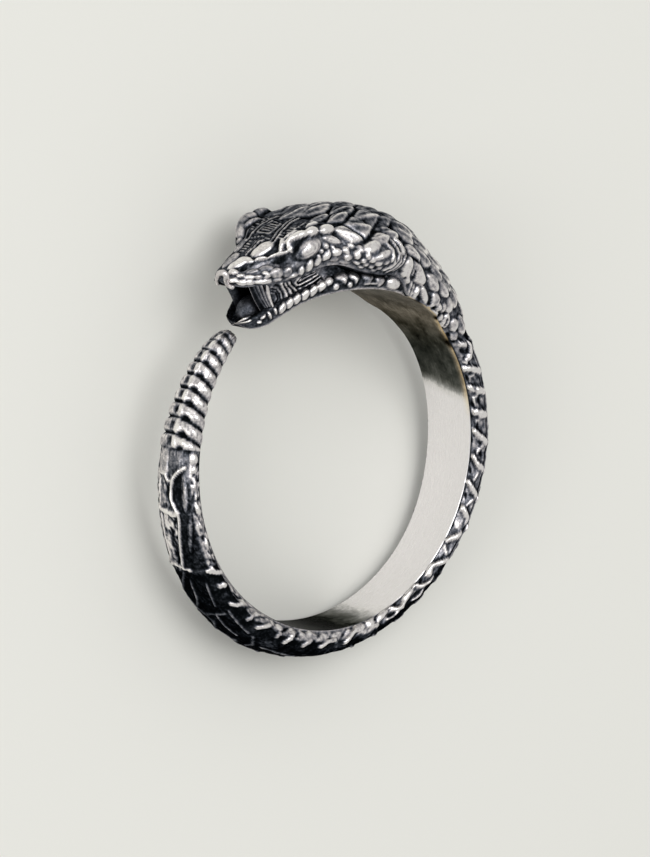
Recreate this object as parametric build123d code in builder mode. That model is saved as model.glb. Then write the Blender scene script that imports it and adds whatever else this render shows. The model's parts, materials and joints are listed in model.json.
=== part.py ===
from build123d import *
from collections import namedtuple
from itertools import combinations
from math import acos, cos, degrees, dist, floor, pi, radians, sin, sqrt
import os

os.makedirs("parts", exist_ok=True)

# A snake bent round the finger: one casting in silver. Millimetres and degrees throughout.
# The finger hole runs along Z. Every station is an angle round that hole: the tail tip is at
# -221, the foot of the ring at -90, the neck at 50 and the snout at 132. A point of a section
# is given by its distance across (z) and its distance out from the middle of the hole (r).
FINGER_RADIUS = 9.1
BORE_LENGTH = 14.0
CORE_DEPTH = 0.45

TRUNK_HALF_WIDTH = 2.0
TRUNK_THICKNESS = 1.6
HEAD_HALF_WIDTH = 4.0
HEAD_HEIGHT = 4.0
JAW_HALF_WIDTH = 3.15
JAW_THICKNESS = 0.95
RELIEF = 0.1

# Degrees from one row of grid points to the next, steps across the back and across one scale of
# the pattern, and the steps that each stretch of a curve is measured in.
BODY_STEP = 1.9
HEAD_STEP = 1.7
BACK_STEPS = 20
SCALE_STEPS = 4
CURVE_STEPS = 8

# The neck passes from the trunk's sections into the skull's between these two angles.
NECK_START = 55.0
NECK_END = 60.0

# Shares of the trunk's half width: shift of the middle, wall (the smooth inside) and flank (the
# widest point). Shares of its thickness: how far the flank and the crown stand off the hole.
Trunk = namedtuple("Trunk", "angle shift wall flank flank_up crown")
TRUNK = [
    Trunk(-221.6, 0.05, 0.11, 0.15, 0.25, 0.41),
    Trunk(-219.6, 0.05, 0.19, 0.25, 0.26, 0.57),
    Trunk(-213.0, 0.04, 0.26, 0.34, 0.26, 0.71),
    Trunk(-199.0, 0.02, 0.36, 0.45, 0.26, 0.79),
    Trunk(-183.0, 0.00, 0.50, 0.60, 0.30, 0.79),
    Trunk(-156.0, 0.00, 0.56, 0.74, 0.36, 0.87),
    Trunk(-136.0, 0.00, 0.57, 0.81, 0.39, 0.96),
    Trunk(-113.0, 0.00, 0.65, 0.94, 0.42, 1.09),
    Trunk(-91.0, 0.03, 0.75, 0.97, 0.44, 1.05),
    Trunk(-60.0, 0.06, 0.75, 0.88, 0.40, 0.78),
    Trunk(-30.0, 0.09, 0.76, 0.89, 0.41, 0.82),
    Trunk(1.0, 0.07, 0.82, 1.00, 0.47, 1.00),
    Trunk(39.0, 0.12, 0.86, 0.97, 0.56, 1.12),
    Trunk(51.0, 0.10, 1.00, 1.14, 0.66, 1.42),
    Trunk(60.0, 0.07, 1.30, 1.34, 0.81, 1.70),
]

# Shares of the head's half width: shift, brow (the edge of the top), cheek (the widest point)
# and lip (the lower edge of the upper jaw). Shares of its height: how far each of them, the
# crown and the palate stand off the hole.
Skull = namedtuple("Skull", "angle shift crown brow brow_up cheek cheek_up lip lip_up palate")
SKULL = [
    Skull(55.0, 0.04, 0.62, 0.35, 0.54, 0.65, 0.32, 0.68, 0.10, -0.10),
    Skull(60.0, 0.04, 0.69, 0.38, 0.61, 0.69, 0.35, 0.71, 0.12, -0.10),
    Skull(67.0, 0.03, 0.75, 0.42, 0.67, 0.75, 0.40, 0.75, 0.21, -0.10),
    Skull(75.0, 0.01, 0.88, 0.47, 0.80, 0.82, 0.46, 0.78, 0.26, -0.10),
    Skull(83.0, 0.00, 0.98, 0.53, 0.88, 0.95, 0.50, 0.85, 0.22, -0.05),
    Skull(91.0, 0.00, 1.01, 0.55, 0.89, 1.00, 0.49, 0.88, 0.21, 0.05),
    Skull(97.0, 0.01, 0.98, 0.59, 0.88, 0.93, 0.50, 0.78, 0.26, 0.16),
    Skull(102.6, 0.03, 0.95, 0.61, 0.88, 0.78, 0.54, 0.66, 0.36, 0.30),
    Skull(108.0, 0.04, 0.94, 0.63, 0.93, 0.71, 0.60, 0.62, 0.40, 0.37),
    Skull(112.0, 0.05, 0.93, 0.63, 0.93, 0.69, 0.62, 0.59, 0.40, 0.40),
    Skull(115.0, 0.06, 0.92, 0.60, 0.88, 0.65, 0.60, 0.56, 0.39, 0.40),
    Skull(118.0, 0.07, 0.90, 0.45, 0.78, 0.57, 0.60, 0.53, 0.41, 0.41),
    Skull(124.5, 0.09, 0.86, 0.31, 0.78, 0.44, 0.66, 0.42, 0.50, 0.50),
    Skull(130.1, 0.10, 0.87, 0.20, 0.82, 0.26, 0.74, 0.24, 0.62, 0.62),
    Skull(132.4, 0.10, 0.85, 0.11, 0.83, 0.15, 0.78, 0.12, 0.73, 0.71),
]

# Shares of the jaw's half width: shift and half (its own half width). Shares of its thickness:
# how far the mouth's floor, the lip, the widest side and the underside stand off the hole.
Jaw = namedtuple("Jaw", "angle shift half floor_up lip_up side_up under_up")
JAW = [
    Jaw(48.0, 0.06, 0.54, 0.74, 0.74, 0.37, -0.32),
    Jaw(59.0, 0.04, 0.90, 0.79, 0.84, 0.42, -0.32),
    Jaw(71.0, 0.02, 0.98, 0.84, 0.93, 0.47, -0.32),
    Jaw(86.0, 0.00, 1.00, 0.82, 0.97, 0.53, -0.32),
    Jaw(98.8, 0.02, 0.92, 0.74, 1.00, 0.55, -0.32),
    Jaw(106.0, 0.03, 0.81, 0.68, 1.01, 0.57, -0.32),
    Jaw(112.5, 0.05, 0.70, 0.63, 1.03, 0.59, -0.32),
    Jaw(118.4, 0.06, 0.62, 0.61, 1.07, 0.61, -0.32),
    Jaw(124.3, 0.08, 0.55, 0.61, 1.12, 0.63, -0.26),
    Jaw(129.1, 0.10, 0.43, 0.65, 1.16, 0.69, 0.05),
    Jaw(133.0, 0.11, 0.27, 0.80, 1.24, 0.84, 0.37),
    Jaw(136.2, 0.12, 0.13, 1.00, 1.28, 1.03, 0.68),
]
JAW_STEP = 2.4
LOWER_LIP_SCALE = 4.8

# Scales from one angle to the next: rows of grid points in one scale, and how far its edge ribs,
# its keel and its panels stand out, as shares of the relief.
Hide = namedtuple("Hide", "start end rows rib keel panel")
HIDE = [
    Hide(-181.8, -122.0, 8, 0.9, 0.4, -0.6),
    Hide(-122.0, -62.0, 6, 0.6, 0.3, -0.6),
    Hide(-62.0, 40.0, 4, 0.9, 0.0, -0.6),
    Hide(40.0, 100.0, 4, -0.8, 0.9, 0.3),
]
LATTICE_REACH = 0.75

# The rattle: rings of horn from the tail tip on, each with a ridge along its middle, a dimple on
# each side and a knob below it, as shares of the relief.
RATTLE_START = -220.95
RATTLE_END = -181.8
RATTLE_RINGS = 9
RATTLE_ROWS = 3
RATTLE_GROOVE = 1.1
RATTLE_RIDGE = 0.6
RATTLE_DIMPLE = 0.7
RATTLE_KNOB = 0.7

# Forms raised or sunk on both sides of the head. Shares of the head's half width: the middle's
# place across and the reach along and across. Shares of the relief: the rise.
Form = namedtuple("Form", "angle z along across rise")
FORMS = [
    Form(111.8, 0.68, 0.19, 0.15, 2.4),
    Form(111.8, 0.60, 0.40, 0.07, 1.2),
    Form(119.5, 0.20, 0.20, 0.11, 1.6),
    Form(125.5, 0.29, 0.11, 0.09, -1.6),
    Form(121.0, 0.49, 0.28, 0.10, -1.4),
    Form(115.0, 0.60, 0.17, 0.10, -1.2),
    Form(104.5, 0.74, 0.11, 0.09, 1.2),
    Form(98.5, 0.84, 0.11, 0.09, 1.2),
    Form(89.0, 0.96, 0.28, 0.20, 1.4),
    Form(84.0, 0.90, 0.15, 0.12, 1.2),
    Form(128.5, 0.09, 0.15, 0.07, 0.8),
]

# Two raised borders run along the top of the head, between its rows of plates: their place across
# and reach as shares of the head's half width, their rise as a share of the relief.
PLATES_START = 100.0
PLATES_END = 130.0
PLATES_FADE = 4.0
PLATE_GAP = 0.155
PLATE_RIDGE_REACH = 0.075
PLATE_RIDGE = 0.7

# Two long teeth hang from the upper jaw to the lower, a tongue fills the floor of the mouth and
# a fold of skin closes the mouth's corner on each side. FANG_Z is a share of the head's half
# width, FOLD_TOP of the lip's and FOLD_FOOT of the jaw's; FOLD_RIDGE is a share of the relief.
FANG_ROOT_ANGLE = 121.6
FANG_TIP_ANGLE = 128.0
FANG_Z = 0.28
FANG_ROOT_RADIUS = 0.27
FANG_TIP_RADIUS = 0.09
FANG_SEAT = 0.15
TONGUE_ANGLE = 128.5
TONGUE_RADIUS = 0.62
FOLD_START = 99.0
FOLD_END = 118.0
FOLD_THICKNESS = 0.34
FOLD_STEP = 1.9
FOLD_TOP = 0.86
FOLD_FOOT = 0.80
FOLD_SEAT = 0.22
FOLD_RIDGE = 0.5


def look_up(table, angle):
    """One section between the rows of a table, on a smooth curve through them."""
    k = 0
    while k < len(table) - 2 and angle > table[k + 1].angle:
        k += 1
    before, low = table[max(k - 1, 0)], table[k]
    high, after = table[k + 1], table[min(k + 2, len(table) - 1)]
    span = high.angle - low.angle
    f = (angle - low.angle) / span
    values = []
    for a, b, c, d in zip(before, low, high, after):
        rise_in = (c - a) / (high.angle - before.angle) * span
        rise_out = (d - b) / (after.angle - low.angle) * span
        curve = (2 * f**3 - 3 * f**2 + 1) * b + (f**3 - 2 * f**2 + f) * rise_in
        values.append(curve + (3 * f**2 - 2 * f**3) * c + (f**3 - f**2) * rise_out)
    return type(low)(*values)


def smooth_run(corners, count):
    """A smooth curve through the corners, cut into equal steps."""
    first = tuple(2 * a - b for a, b in zip(corners[0], corners[1]))
    last = tuple(2 * a - b for a, b in zip(corners[-1], corners[-2]))
    path = [first] + list(corners) + [last]
    fine = []
    for a, b, c, d in zip(path, path[1:], path[2:], path[3:]):
        for step in range(CURVE_STEPS):
            f = step / CURVE_STEPS
            fine.append(tuple(
                q + 0.5 * f * (r - p + f * (2 * p - 5 * q + 4 * r - s + f * (3 * q - p - 3 * r + s)))
                for p, q, r, s in zip(a, b, c, d)))
    fine.append(tuple(corners[-1]))
    run = [0.0]
    for a, b in zip(fine, fine[1:]):
        run.append(run[-1] + dist(a, b))
    points = []
    k = 0
    for step in range(count + 1):
        goal = run[-1] * step / count
        while k < len(run) - 2 and run[k + 1] < goal:
            k += 1
        f = (goal - run[k]) / (run[k + 1] - run[k])
        points.append(tuple(p + (q - p) * f for p, q in zip(fine[k], fine[k + 1])))
    return points


def from_shares(corners, half_width, height):
    """Corners given as shares of a width and a height, at their place off the finger hole."""
    return [(z * half_width, FINGER_RADIUS + up * height) for z, up in corners]


def trunk_half(angle):
    """Shift, back from the spine to the wall's edge, and the two points inside the hole."""
    s = look_up(TRUNK, angle)
    shoulder_up = (s.crown + s.flank_up) / 2 + 0.05
    corners = [
        (0.0, s.crown),
        (0.45 * s.flank, 0.93 * s.crown),
        (0.84 * s.flank, shoulder_up),
        (s.flank, s.flank_up),
        (0.5 * (s.flank + s.wall) + 0.025, 0.32 * s.flank_up),
        (s.wall, -0.04),
    ]
    back = smooth_run(from_shares(corners, TRUNK_HALF_WIDTH, TRUNK_THICKNESS), BACK_STEPS // 2)
    wall = s.wall * TRUNK_HALF_WIDTH
    core = FINGER_RADIUS - CORE_DEPTH
    return s.shift * TRUNK_HALF_WIDTH, back, [(0.8 * wall, core + 0.1), (0.0, core)]


def skull_half(angle):
    """The same for the head, with the palate in place of the points inside the hole."""
    s = look_up(SKULL, angle)
    corners = [
        (0.0, s.crown),
        (0.6 * s.brow, 0.6 * s.crown + 0.4 * s.brow_up + 0.012),
        (s.brow, s.brow_up),
        (s.cheek, s.cheek_up),
        (s.lip, s.lip_up),
    ]
    back = smooth_run(from_shares(corners, HEAD_HALF_WIDTH, HEAD_HEIGHT), BACK_STEPS // 2)
    palate = [(0.62 * s.lip, 0.35 * s.lip_up + 0.65 * s.palate), (0.0, s.palate)]
    return s.shift * HEAD_HALF_WIDTH, back, from_shares(palate, HEAD_HALF_WIDTH, HEAD_HEIGHT)


def snake_half(angle):
    """The half section, with the neck passing from the trunk's shape into the skull's."""
    if angle <= NECK_START:
        return trunk_half(angle)
    if angle >= NECK_END:
        return skull_half(angle)
    f = (angle - NECK_START) / (NECK_END - NECK_START)
    a, b = trunk_half(angle), skull_half(angle)
    mixed = [[tuple(p + (q - p) * f for p, q in zip(u, v)) for u, v in zip(a[n], b[n])] for n in (1, 2)]
    return a[0] + (b[0] - a[0]) * f, mixed[0], mixed[1]


def lattice(row, rows, across):
    """How near a grid point is to the diamond lattice of scale edges: 1 on it, 0 off it."""
    along = row * SCALE_STEPS / rows
    gaps = []
    for line in (along + across, along - across):
        off = line % SCALE_STEPS
        gaps.append(min(off, SCALE_STEPS - off))
    return max(0.0, 1.0 - min(gaps) / LATTICE_REACH)


def keel(row, rows, across):
    """1 along the middle of a scale, running with the snake, and 0 off it."""
    odd_row = floor(2 * row / rows + 0.5) % 2
    off = (across - odd_row * SCALE_STEPS // 2) % SCALE_STEPS
    return 1.0 if off == 0 else 0.0


def hide_relief(angle, row, across):
    """Height of the trunk's pattern at a grid point, as a share of the relief."""
    if angle < RATTLE_END:
        ring = (angle - RATTLE_START) / (RATTLE_END - RATTLE_START) * RATTLE_RINGS
        off = abs(ring - round(ring))
        groove = RATTLE_GROOVE if off < 0.12 else 0.0
        side = abs(across)
        form = RATTLE_RIDGE if side == 0 else 0.0
        form -= RATTLE_DIMPLE if 3 <= side <= 5 else 0.0
        form += RATTLE_KNOB if 6 <= side <= 8 else 0.0
        return form - groove
    for hide in HIDE:
        if hide.start <= angle < hide.end:
            edge = lattice(row, hide.rows, across)
            inside = hide.keel * keel(row, hide.rows, across)
            return hide.rib * edge + (1.0 - edge) * (hide.panel + inside)
    return 0.0


def head_relief(angle, z, r, across):
    """Plates with raised borders along the top, and the forms of the table."""
    rise = 0.0
    side = abs(z) / HEAD_HALF_WIDTH
    if PLATES_START < angle < PLATES_END and abs(across) < BACK_STEPS // 4:
        fade = min(1.0, (angle - PLATES_START) / PLATES_FADE, (PLATES_END - angle) / PLATES_FADE)
        rise += PLATE_RIDGE * fade * max(0.0, 1.0 - abs(side - PLATE_GAP) / PLATE_RIDGE_REACH)
    for form in FORMS:
        along = radians(angle - form.angle) * r / (form.along * HEAD_HALF_WIDTH)
        off = sqrt(along**2 + ((side - form.z) / form.across) ** 2)
        if off < 1.0:
            rise += form.rise * (1.0 - off**2)
    return rise


def ring_point(angle, z, r):
    turn = radians(angle)
    return (r * cos(turn), r * sin(turn), z)


def snake_row(angle, row):
    """All points of one section: over the back, then along the underside."""
    shift, half, under = snake_half(angle)
    back = [(-z, r) for z, r in reversed(half[1:])] + list(half)
    raised = []
    for n, (z, r) in enumerate(back):
        across = n - BACK_STEPS // 2
        low, high = back[max(n - 1, 0)], back[min(n + 1, BACK_STEPS)]
        dz, dr = high[0] - low[0], high[1] - low[1]
        length = sqrt(dz**2 + dr**2)
        rise = 0.0
        if abs(across) < BACK_STEPS // 2:
            rise = RELIEF * (hide_relief(angle, row, across) + head_relief(angle, z, r, across))
        raised.append((z - dr / length * rise, r + dz / length * rise))
    inner = [under[0], under[1], (-under[0][0], under[0][1])]
    return [ring_point(angle, shift + z, r) for z, r in raised + inner]


def stations():
    """Angles of the rows with the scale row each one belongs to."""
    rows = []
    ring_step = (RATTLE_END - RATTLE_START) / (RATTLE_RINGS * RATTLE_ROWS)
    rows.append((TRUNK[0].angle, 0))
    for n in range(RATTLE_RINGS * RATTLE_ROWS):
        rows.append((RATTLE_START + n * ring_step, 0))
    angle = RATTLE_END
    row = 0
    while angle < SKULL[-1].angle - 0.6 * HEAD_STEP:
        rows.append((angle, row))
        angle += BODY_STEP if angle < NECK_END else HEAD_STEP
        row += 1
    rows.append((SKULL[-1].angle, row))
    return rows


def facet(a, b, c):
    return Face(Wire.make_polygon([a, b, c]))


def skin(rows, lean):
    """Triangles between neighbouring rows of points, closed at both ends, as one solid."""
    faces = []
    count = len(rows[0])
    for i, (one, two) in enumerate(zip(rows, rows[1:])):
        for j in range(count):
            k = (j + 1) % count
            if lean(i, j):
                faces += [facet(one[j], one[k], two[k]), facet(one[j], two[k], two[j])]
            else:
                faces += [facet(one[j], one[k], two[j]), facet(one[k], two[k], two[j])]
    for end in (rows[0], rows[-1]):
        middle = tuple(sum(axis) / count for axis in zip(*end))
        for j in range(count):
            faces.append(facet(end[j], end[(j + 1) % count], middle))
    return Solid(Shell(faces))


def jaw_row(angle):
    """The mouth's floor between two lips, and an underside that the hole trims."""
    s = look_up(JAW, angle)
    bead = 0.5 * RELIEF * cos(2 * pi * angle / LOWER_LIP_SCALE)
    corners = [
        (0.0, s.floor_up),
        (0.55 * s.half, s.floor_up),
        (0.84 * s.half, s.lip_up),
        (s.half, s.side_up + 0.08),
        (0.96 * s.half, max(s.under_up, -0.04)),
        (0.75 * s.half, s.under_up),
        (0.0, s.under_up - 0.05),
    ]
    half = from_shares(corners, JAW_HALF_WIDTH, JAW_THICKNESS)
    half[2] = (half[2][0], half[2][1] + bead)
    half[3] = (half[3][0] + bead, half[3][1])
    ring = half + [(-z, r) for z, r in reversed(half[1:-1])]
    return [ring_point(angle, s.shift * JAW_HALF_WIDTH + z, r) for z, r in ring]


def fold_row(angle, side):
    """The skin between the jaws: from inside the upper lip down to the lower lip."""
    upper, lower = look_up(SKULL, angle), look_up(JAW, angle)
    ridge = FOLD_RIDGE * RELIEF * cos(pi * angle / FOLD_STEP)
    lip_r = FINGER_RADIUS + upper.lip_up * HEAD_HEIGHT
    foot_r = FINGER_RADIUS + lower.lip_up * JAW_THICKNESS
    top = (FOLD_TOP * upper.lip * HEAD_HALF_WIDTH, lip_r + FOLD_SEAT)
    foot = (FOLD_FOOT * lower.half * JAW_HALF_WIDTH, foot_r - FOLD_SEAT)
    waist = (min(top[0], foot[0]) - RELIEF + ridge, (top[1] + foot[1]) / 2)
    inner = [(z - FOLD_THICKNESS, r) for z, r in (foot, waist, top)]
    shift = upper.shift * HEAD_HALF_WIDTH
    return [ring_point(angle, shift + side * z, r) for z, r in [top, waist, foot] + inner]


def fang_end(angle, side, r):
    z = (look_up(SKULL, angle).shift + side * FANG_Z) * HEAD_HALF_WIDTH
    return Vector(*ring_point(angle, z, r))


def steps(start, end, step):
    count = max(1, round((end - start) / step))
    return [start + (end - start) * n / count for n in range(count + 1)]


def resting_facet(points, centre):
    """The floor under the ring: the plane below all points and highest under the middle."""
    best = None
    for a, b, c in combinations(points, 3):
        u = [q - p for p, q in zip(a, b)]
        v = [q - p for p, q in zip(a, c)]
        up_z = u[0] * v[1] - u[1] * v[0]
        if abs(up_z) < 1e-3:
            continue
        slope_x = -(u[1] * v[2] - u[2] * v[1]) / up_z
        slope_y = -(u[2] * v[0] - u[0] * v[2]) / up_z
        base = a[2] - slope_x * a[0] - slope_y * a[1]
        if all(p[2] - slope_x * p[0] - slope_y * p[1] - base > -1e-6 for p in points):
            under = base + slope_x * centre[0] + slope_y * centre[1]
            if best is None or under > best[0]:
                best = (under, slope_x, slope_y)
    return Vector(-best[1], -best[2], 1).normalized()


# The scales' edges run along the diagonals, so each four-sided cell is split on that side.
rows = [snake_row(angle, row) for angle, row in stations()]
row_numbers = [row for angle, row in stations()]


def scale_lean(i, j):
    across = j - BACK_STEPS // 2
    return (row_numbers[i] - across) % SCALE_STEPS in (0, 1)


def alternate(i, j):
    return i % 2


# The lower jaw with its tongue, folds and long teeth.
tongue_seat = look_up(JAW, TONGUE_ANGLE)
tongue_r = FINGER_RADIUS + tongue_seat.floor_up * JAW_THICKNESS
fang_root_r = FINGER_RADIUS + look_up(SKULL, FANG_ROOT_ANGLE).palate * HEAD_HEIGHT + FANG_SEAT
fang_tip_r = FINGER_RADIUS + look_up(JAW, FANG_TIP_ANGLE).floor_up * JAW_THICKNESS
with BuildPart() as mouth:
    add(skin([jaw_row(angle) for angle in steps(JAW[0].angle, JAW[-1].angle, JAW_STEP)], alternate))
    with Locations(ring_point(TONGUE_ANGLE, tongue_seat.shift * JAW_HALF_WIDTH, tongue_r)):
        Sphere(TONGUE_RADIUS)
    for side in (-1, 1):
        add(skin([fold_row(angle, side) for angle in steps(FOLD_START, FOLD_END, FOLD_STEP)], alternate))
        root = fang_end(FANG_ROOT_ANGLE, side, fang_root_r)
        tip = fang_end(FANG_TIP_ANGLE, side, fang_tip_r)
        with Locations(Plane(origin=(root + tip) / 2, z_dir=tip - root)):
            Cone(FANG_ROOT_RADIUS, FANG_TIP_RADIUS, (tip - root).length)

# The whole casting, with the finger hole bored through it.
with BuildPart() as casting:
    add(skin(rows, scale_lean))
    add(mouth.part)
    Cylinder(FINGER_RADIUS, BORE_LENGTH, mode=Mode.SUBTRACT)

# It lies on its side: its lowest points find the floor, and the origin is under its middle.
lowest = [min(row[:BACK_STEPS + 1], key=lambda point: point[2]) for row in rows[::2]]
up = resting_facet(lowest, tuple(casting.part.center(CenterOf.MASS)))
tilt = degrees(acos(up.Z))
hinge = Axis((0, 0, 0), (up.Y, -up.X, 0))
box = casting.part.rotate(hinge, tilt).bounding_box()
foot = Vector((box.min.X + box.max.X) / 2, (box.min.Y + box.max.Y) / 2, box.min.Z)
with BuildPart() as snake_ring:
    add(casting.part.rotate(hinge, tilt).translate(-foot))

snake_ring.part.label = "snake_ring"
export_step(snake_ring.part, "parts/snake_ring.step")

print("solids", len(snake_ring.solids()), "faces", len(snake_ring.faces()), "valid", snake_ring.part.is_valid)
print("volume", snake_ring.part.volume, "tilt", tilt)
print("box", snake_ring.part.bounding_box())
print("hole axis", tuple(Vector(0, 0, 1).rotate(hinge, tilt)), "hole middle", tuple(-foot))
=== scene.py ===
# %% [markdown]
# # A snake ring in blackened silver
#
# The object is one silver casting: a snake bent round a finger, with its rattle ending under its
# open mouth. The CAD model holds the true size and the main shape in a few thousand flat
# triangles. Here the same snake gets its real skin: thousands of small steps over the same
# sections, with every scale, rib and ring of horn raised from it, and a finish of black oxide in
# the recesses and bare polished silver on the high places.

import json
from collections import namedtuple

import bmesh
import bpy
import numpy as np
from mathutils import Matrix, Vector


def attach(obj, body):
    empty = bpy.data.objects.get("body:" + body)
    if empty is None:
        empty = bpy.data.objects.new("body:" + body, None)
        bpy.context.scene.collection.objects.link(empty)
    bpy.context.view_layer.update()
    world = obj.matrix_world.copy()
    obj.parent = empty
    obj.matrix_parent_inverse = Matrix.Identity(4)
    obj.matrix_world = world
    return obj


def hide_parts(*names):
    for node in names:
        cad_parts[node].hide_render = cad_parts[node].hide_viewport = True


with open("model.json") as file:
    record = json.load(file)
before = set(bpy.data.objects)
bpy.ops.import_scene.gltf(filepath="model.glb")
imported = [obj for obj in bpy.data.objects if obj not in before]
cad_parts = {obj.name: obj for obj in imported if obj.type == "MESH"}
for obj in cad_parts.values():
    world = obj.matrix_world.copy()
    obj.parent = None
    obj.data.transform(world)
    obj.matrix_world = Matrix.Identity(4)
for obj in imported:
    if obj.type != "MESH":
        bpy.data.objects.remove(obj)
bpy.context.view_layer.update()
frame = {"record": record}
hole = frame["record"]["mounts"][0]

# %% [markdown]
# ## Where the ring lies
#
# The snake is described round its finger hole: an angle round the hole, a distance across (z) and
# a distance out from the hole's middle (r), in millimetres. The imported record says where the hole
# is and how its axis leans, because the ring lies on its side and rocks onto its head. One matrix
# takes the snake from its own measures to metres in the frame.

# %% From the snake's measures to the frame
MM = 0.001
lean_over = Vector((0, 0, 1)).rotation_difference(Vector(hole["axis"])).to_matrix()
RING_TO_FRAME = Matrix.Translation(hole["pos_m"]) @ lean_over.to_4x4() @ Matrix.Scale(MM, 4)


def in_frame(points):
    """Places in the frame, in metres, of an array of points in the snake's own millimetres."""
    turn = np.array(RING_TO_FRAME)
    return points @ turn[:3, :3].T + turn[:3, 3]


# %% [markdown]
# ## The sections
#
# The named sizes and the trunk's table are the casting's. The skull's table differs from it at the
# lip near the neck, and so do most of the jaw's rows. Each row is a station along the snake, with
# its columns named above the table, and its numbers are shares of a named width and height.

# %% Named sizes and sections
FINGER_RADIUS = 9.1
TRUNK_HALF_WIDTH = 2.0
TRUNK_THICKNESS = 1.6
HEAD_HALF_WIDTH = 4.0
HEAD_HEIGHT = 4.0
JAW_HALF_WIDTH = 3.15
JAW_THICKNESS = 0.95
NECK_START = 55.0
NECK_END = 60.0
CURVE_STEPS = 8
INSIDE_STEPS = 8
MIRROR = (-1.0, 1.0)


def named(kind, rows):
    """Named tuples of a kind from plain rows of numbers."""
    return [kind(*map(float, row)) for row in rows]


Trunk = namedtuple("Trunk", "angle shift wall flank flank_up crown")
TRUNK = named(Trunk, [
    (-221.6, 0.05, 0.11, 0.15, 0.25, 0.41),
    (-219.6, 0.05, 0.19, 0.25, 0.26, 0.57),
    (-213, 0.04, 0.26, 0.34, 0.26, 0.71),
    (-199, 0.02, 0.36, 0.45, 0.26, 0.79),
    (-183, 0, 0.5, 0.6, 0.3, 0.79),
    (-156, 0, 0.56, 0.74, 0.36, 0.87),
    (-136, 0, 0.57, 0.81, 0.39, 0.96),
    (-113, 0, 0.65, 0.94, 0.42, 1.09),
    (-91, 0.03, 0.75, 0.97, 0.44, 1.05),
    (-60, 0.06, 0.75, 0.88, 0.4, 0.78),
    (-30, 0.09, 0.76, 0.89, 0.41, 0.82),
    (1, 0.07, 0.82, 1, 0.47, 1),
    (39, 0.12, 0.86, 0.97, 0.56, 1.12),
    (51, 0.1, 1, 1.14, 0.66, 1.42),
    (60, 0.07, 1.3, 1.34, 0.81, 1.7),
])
Skull = namedtuple("Skull", "angle shift crown brow brow_up cheek cheek_up lip lip_up palate")
SKULL = named(Skull, [
    (55, 0.04, 0.62, 0.35, 0.54, 0.65, 0.32, 0.67, 0, -0.1),
    (60, 0.04, 0.69, 0.38, 0.61, 0.69, 0.35, 0.7, 0, -0.1),
    (67, 0.03, 0.75, 0.42, 0.67, 0.75, 0.4, 0.73, 0, -0.1),
    (75, 0.01, 0.88, 0.47, 0.8, 0.82, 0.46, 0.76, 0.02, -0.1),
    (83, 0, 0.98, 0.53, 0.88, 0.95, 0.5, 0.85, 0.205, -0.05),
    (91, 0, 1.01, 0.55, 0.89, 1, 0.49, 0.88, 0.21, 0.05),
    (97, 0.01, 0.98, 0.59, 0.88, 0.93, 0.5, 0.78, 0.26, 0.16),
    (102.6, 0.03, 0.95, 0.61, 0.88, 0.78, 0.54, 0.66, 0.36, 0.3),
    (108, 0.04, 0.94, 0.63, 0.93, 0.71, 0.6, 0.62, 0.4, 0.37),
    (112, 0.05, 0.93, 0.63, 0.93, 0.69, 0.62, 0.59, 0.4, 0.4),
    (115, 0.06, 0.92, 0.6, 0.88, 0.65, 0.6, 0.56, 0.39, 0.4),
    (118, 0.07, 0.9, 0.45, 0.78, 0.57, 0.6, 0.53, 0.41, 0.41),
    (124.5, 0.09, 0.86, 0.31, 0.78, 0.44, 0.66, 0.42, 0.5, 0.5),
    (130.1, 0.1, 0.87, 0.2, 0.82, 0.26, 0.74, 0.24, 0.62, 0.62),
    (132.4, 0.1, 0.85, 0.11, 0.83, 0.15, 0.78, 0.12, 0.73, 0.71),
])
Jaw = namedtuple("Jaw", "angle shift half floor_up lip_up side_up under_up")
JAW = named(Jaw, [
    (48, 0.06, 0.5, 0.74, 0.74, 0.37, -0.32),
    (59, 0.04, 0.7, 0.79, 0.84, 0.42, -0.32),
    (71, 0.02, 0.8, 0.84, 0.93, 0.47, -0.32),
    (78, 0.01, 0.96, 0.83, 0.95, 0.5, -0.32),
    (86, 0, 1, 0.82, 0.97, 0.53, -0.32),
    (98.8, 0.02, 0.92, 0.74, 1, 0.55, -0.32),
    (106, 0.03, 0.81, 0.66, 0.92, 0.57, -0.32),
    (112.5, 0.05, 0.7, 0.58, 0.82, 0.59, -0.32),
    (118.4, 0.06, 0.62, 0.54, 0.8, 0.61, -0.32),
    (124.3, 0.08, 0.55, 0.54, 0.82, 0.63, -0.26),
    (129.1, 0.11, 0.46, 0.6, 0.92, 0.67, -0.06),
    (133, 0.15, 0.36, 0.76, 1.04, 0.72, 0.18),
    (136.2, 0.19, 0.2, 1, 1.2, 0.92, 0.52),
])


def look_up(table, angles):
    """Each column of a table at every angle, on smooth curves through its rows."""
    rows = np.array(table)
    k = np.clip(np.searchsorted(rows[:, 0], angles) - 1, 0, len(rows) - 2)
    before, low = rows[np.maximum(k - 1, 0)], rows[k]
    high, after = rows[k + 1], rows[np.minimum(k + 2, len(rows) - 1)]
    span = high[:, :1] - low[:, :1]
    f = (angles[:, None] - low[:, :1]) / span
    rise_in = (high - before) / (high - before)[:, :1] * span
    rise_out = (after - low) / (after - low)[:, :1] * span
    curve = (2 * f**3 - 3 * f**2 + 1) * low + (f**3 - 2 * f**2 + f) * rise_in
    curve += (3 * f**2 - 2 * f**3) * high + (f**3 - f**2) * rise_out
    return type(table[0])(*curve.T)


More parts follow.
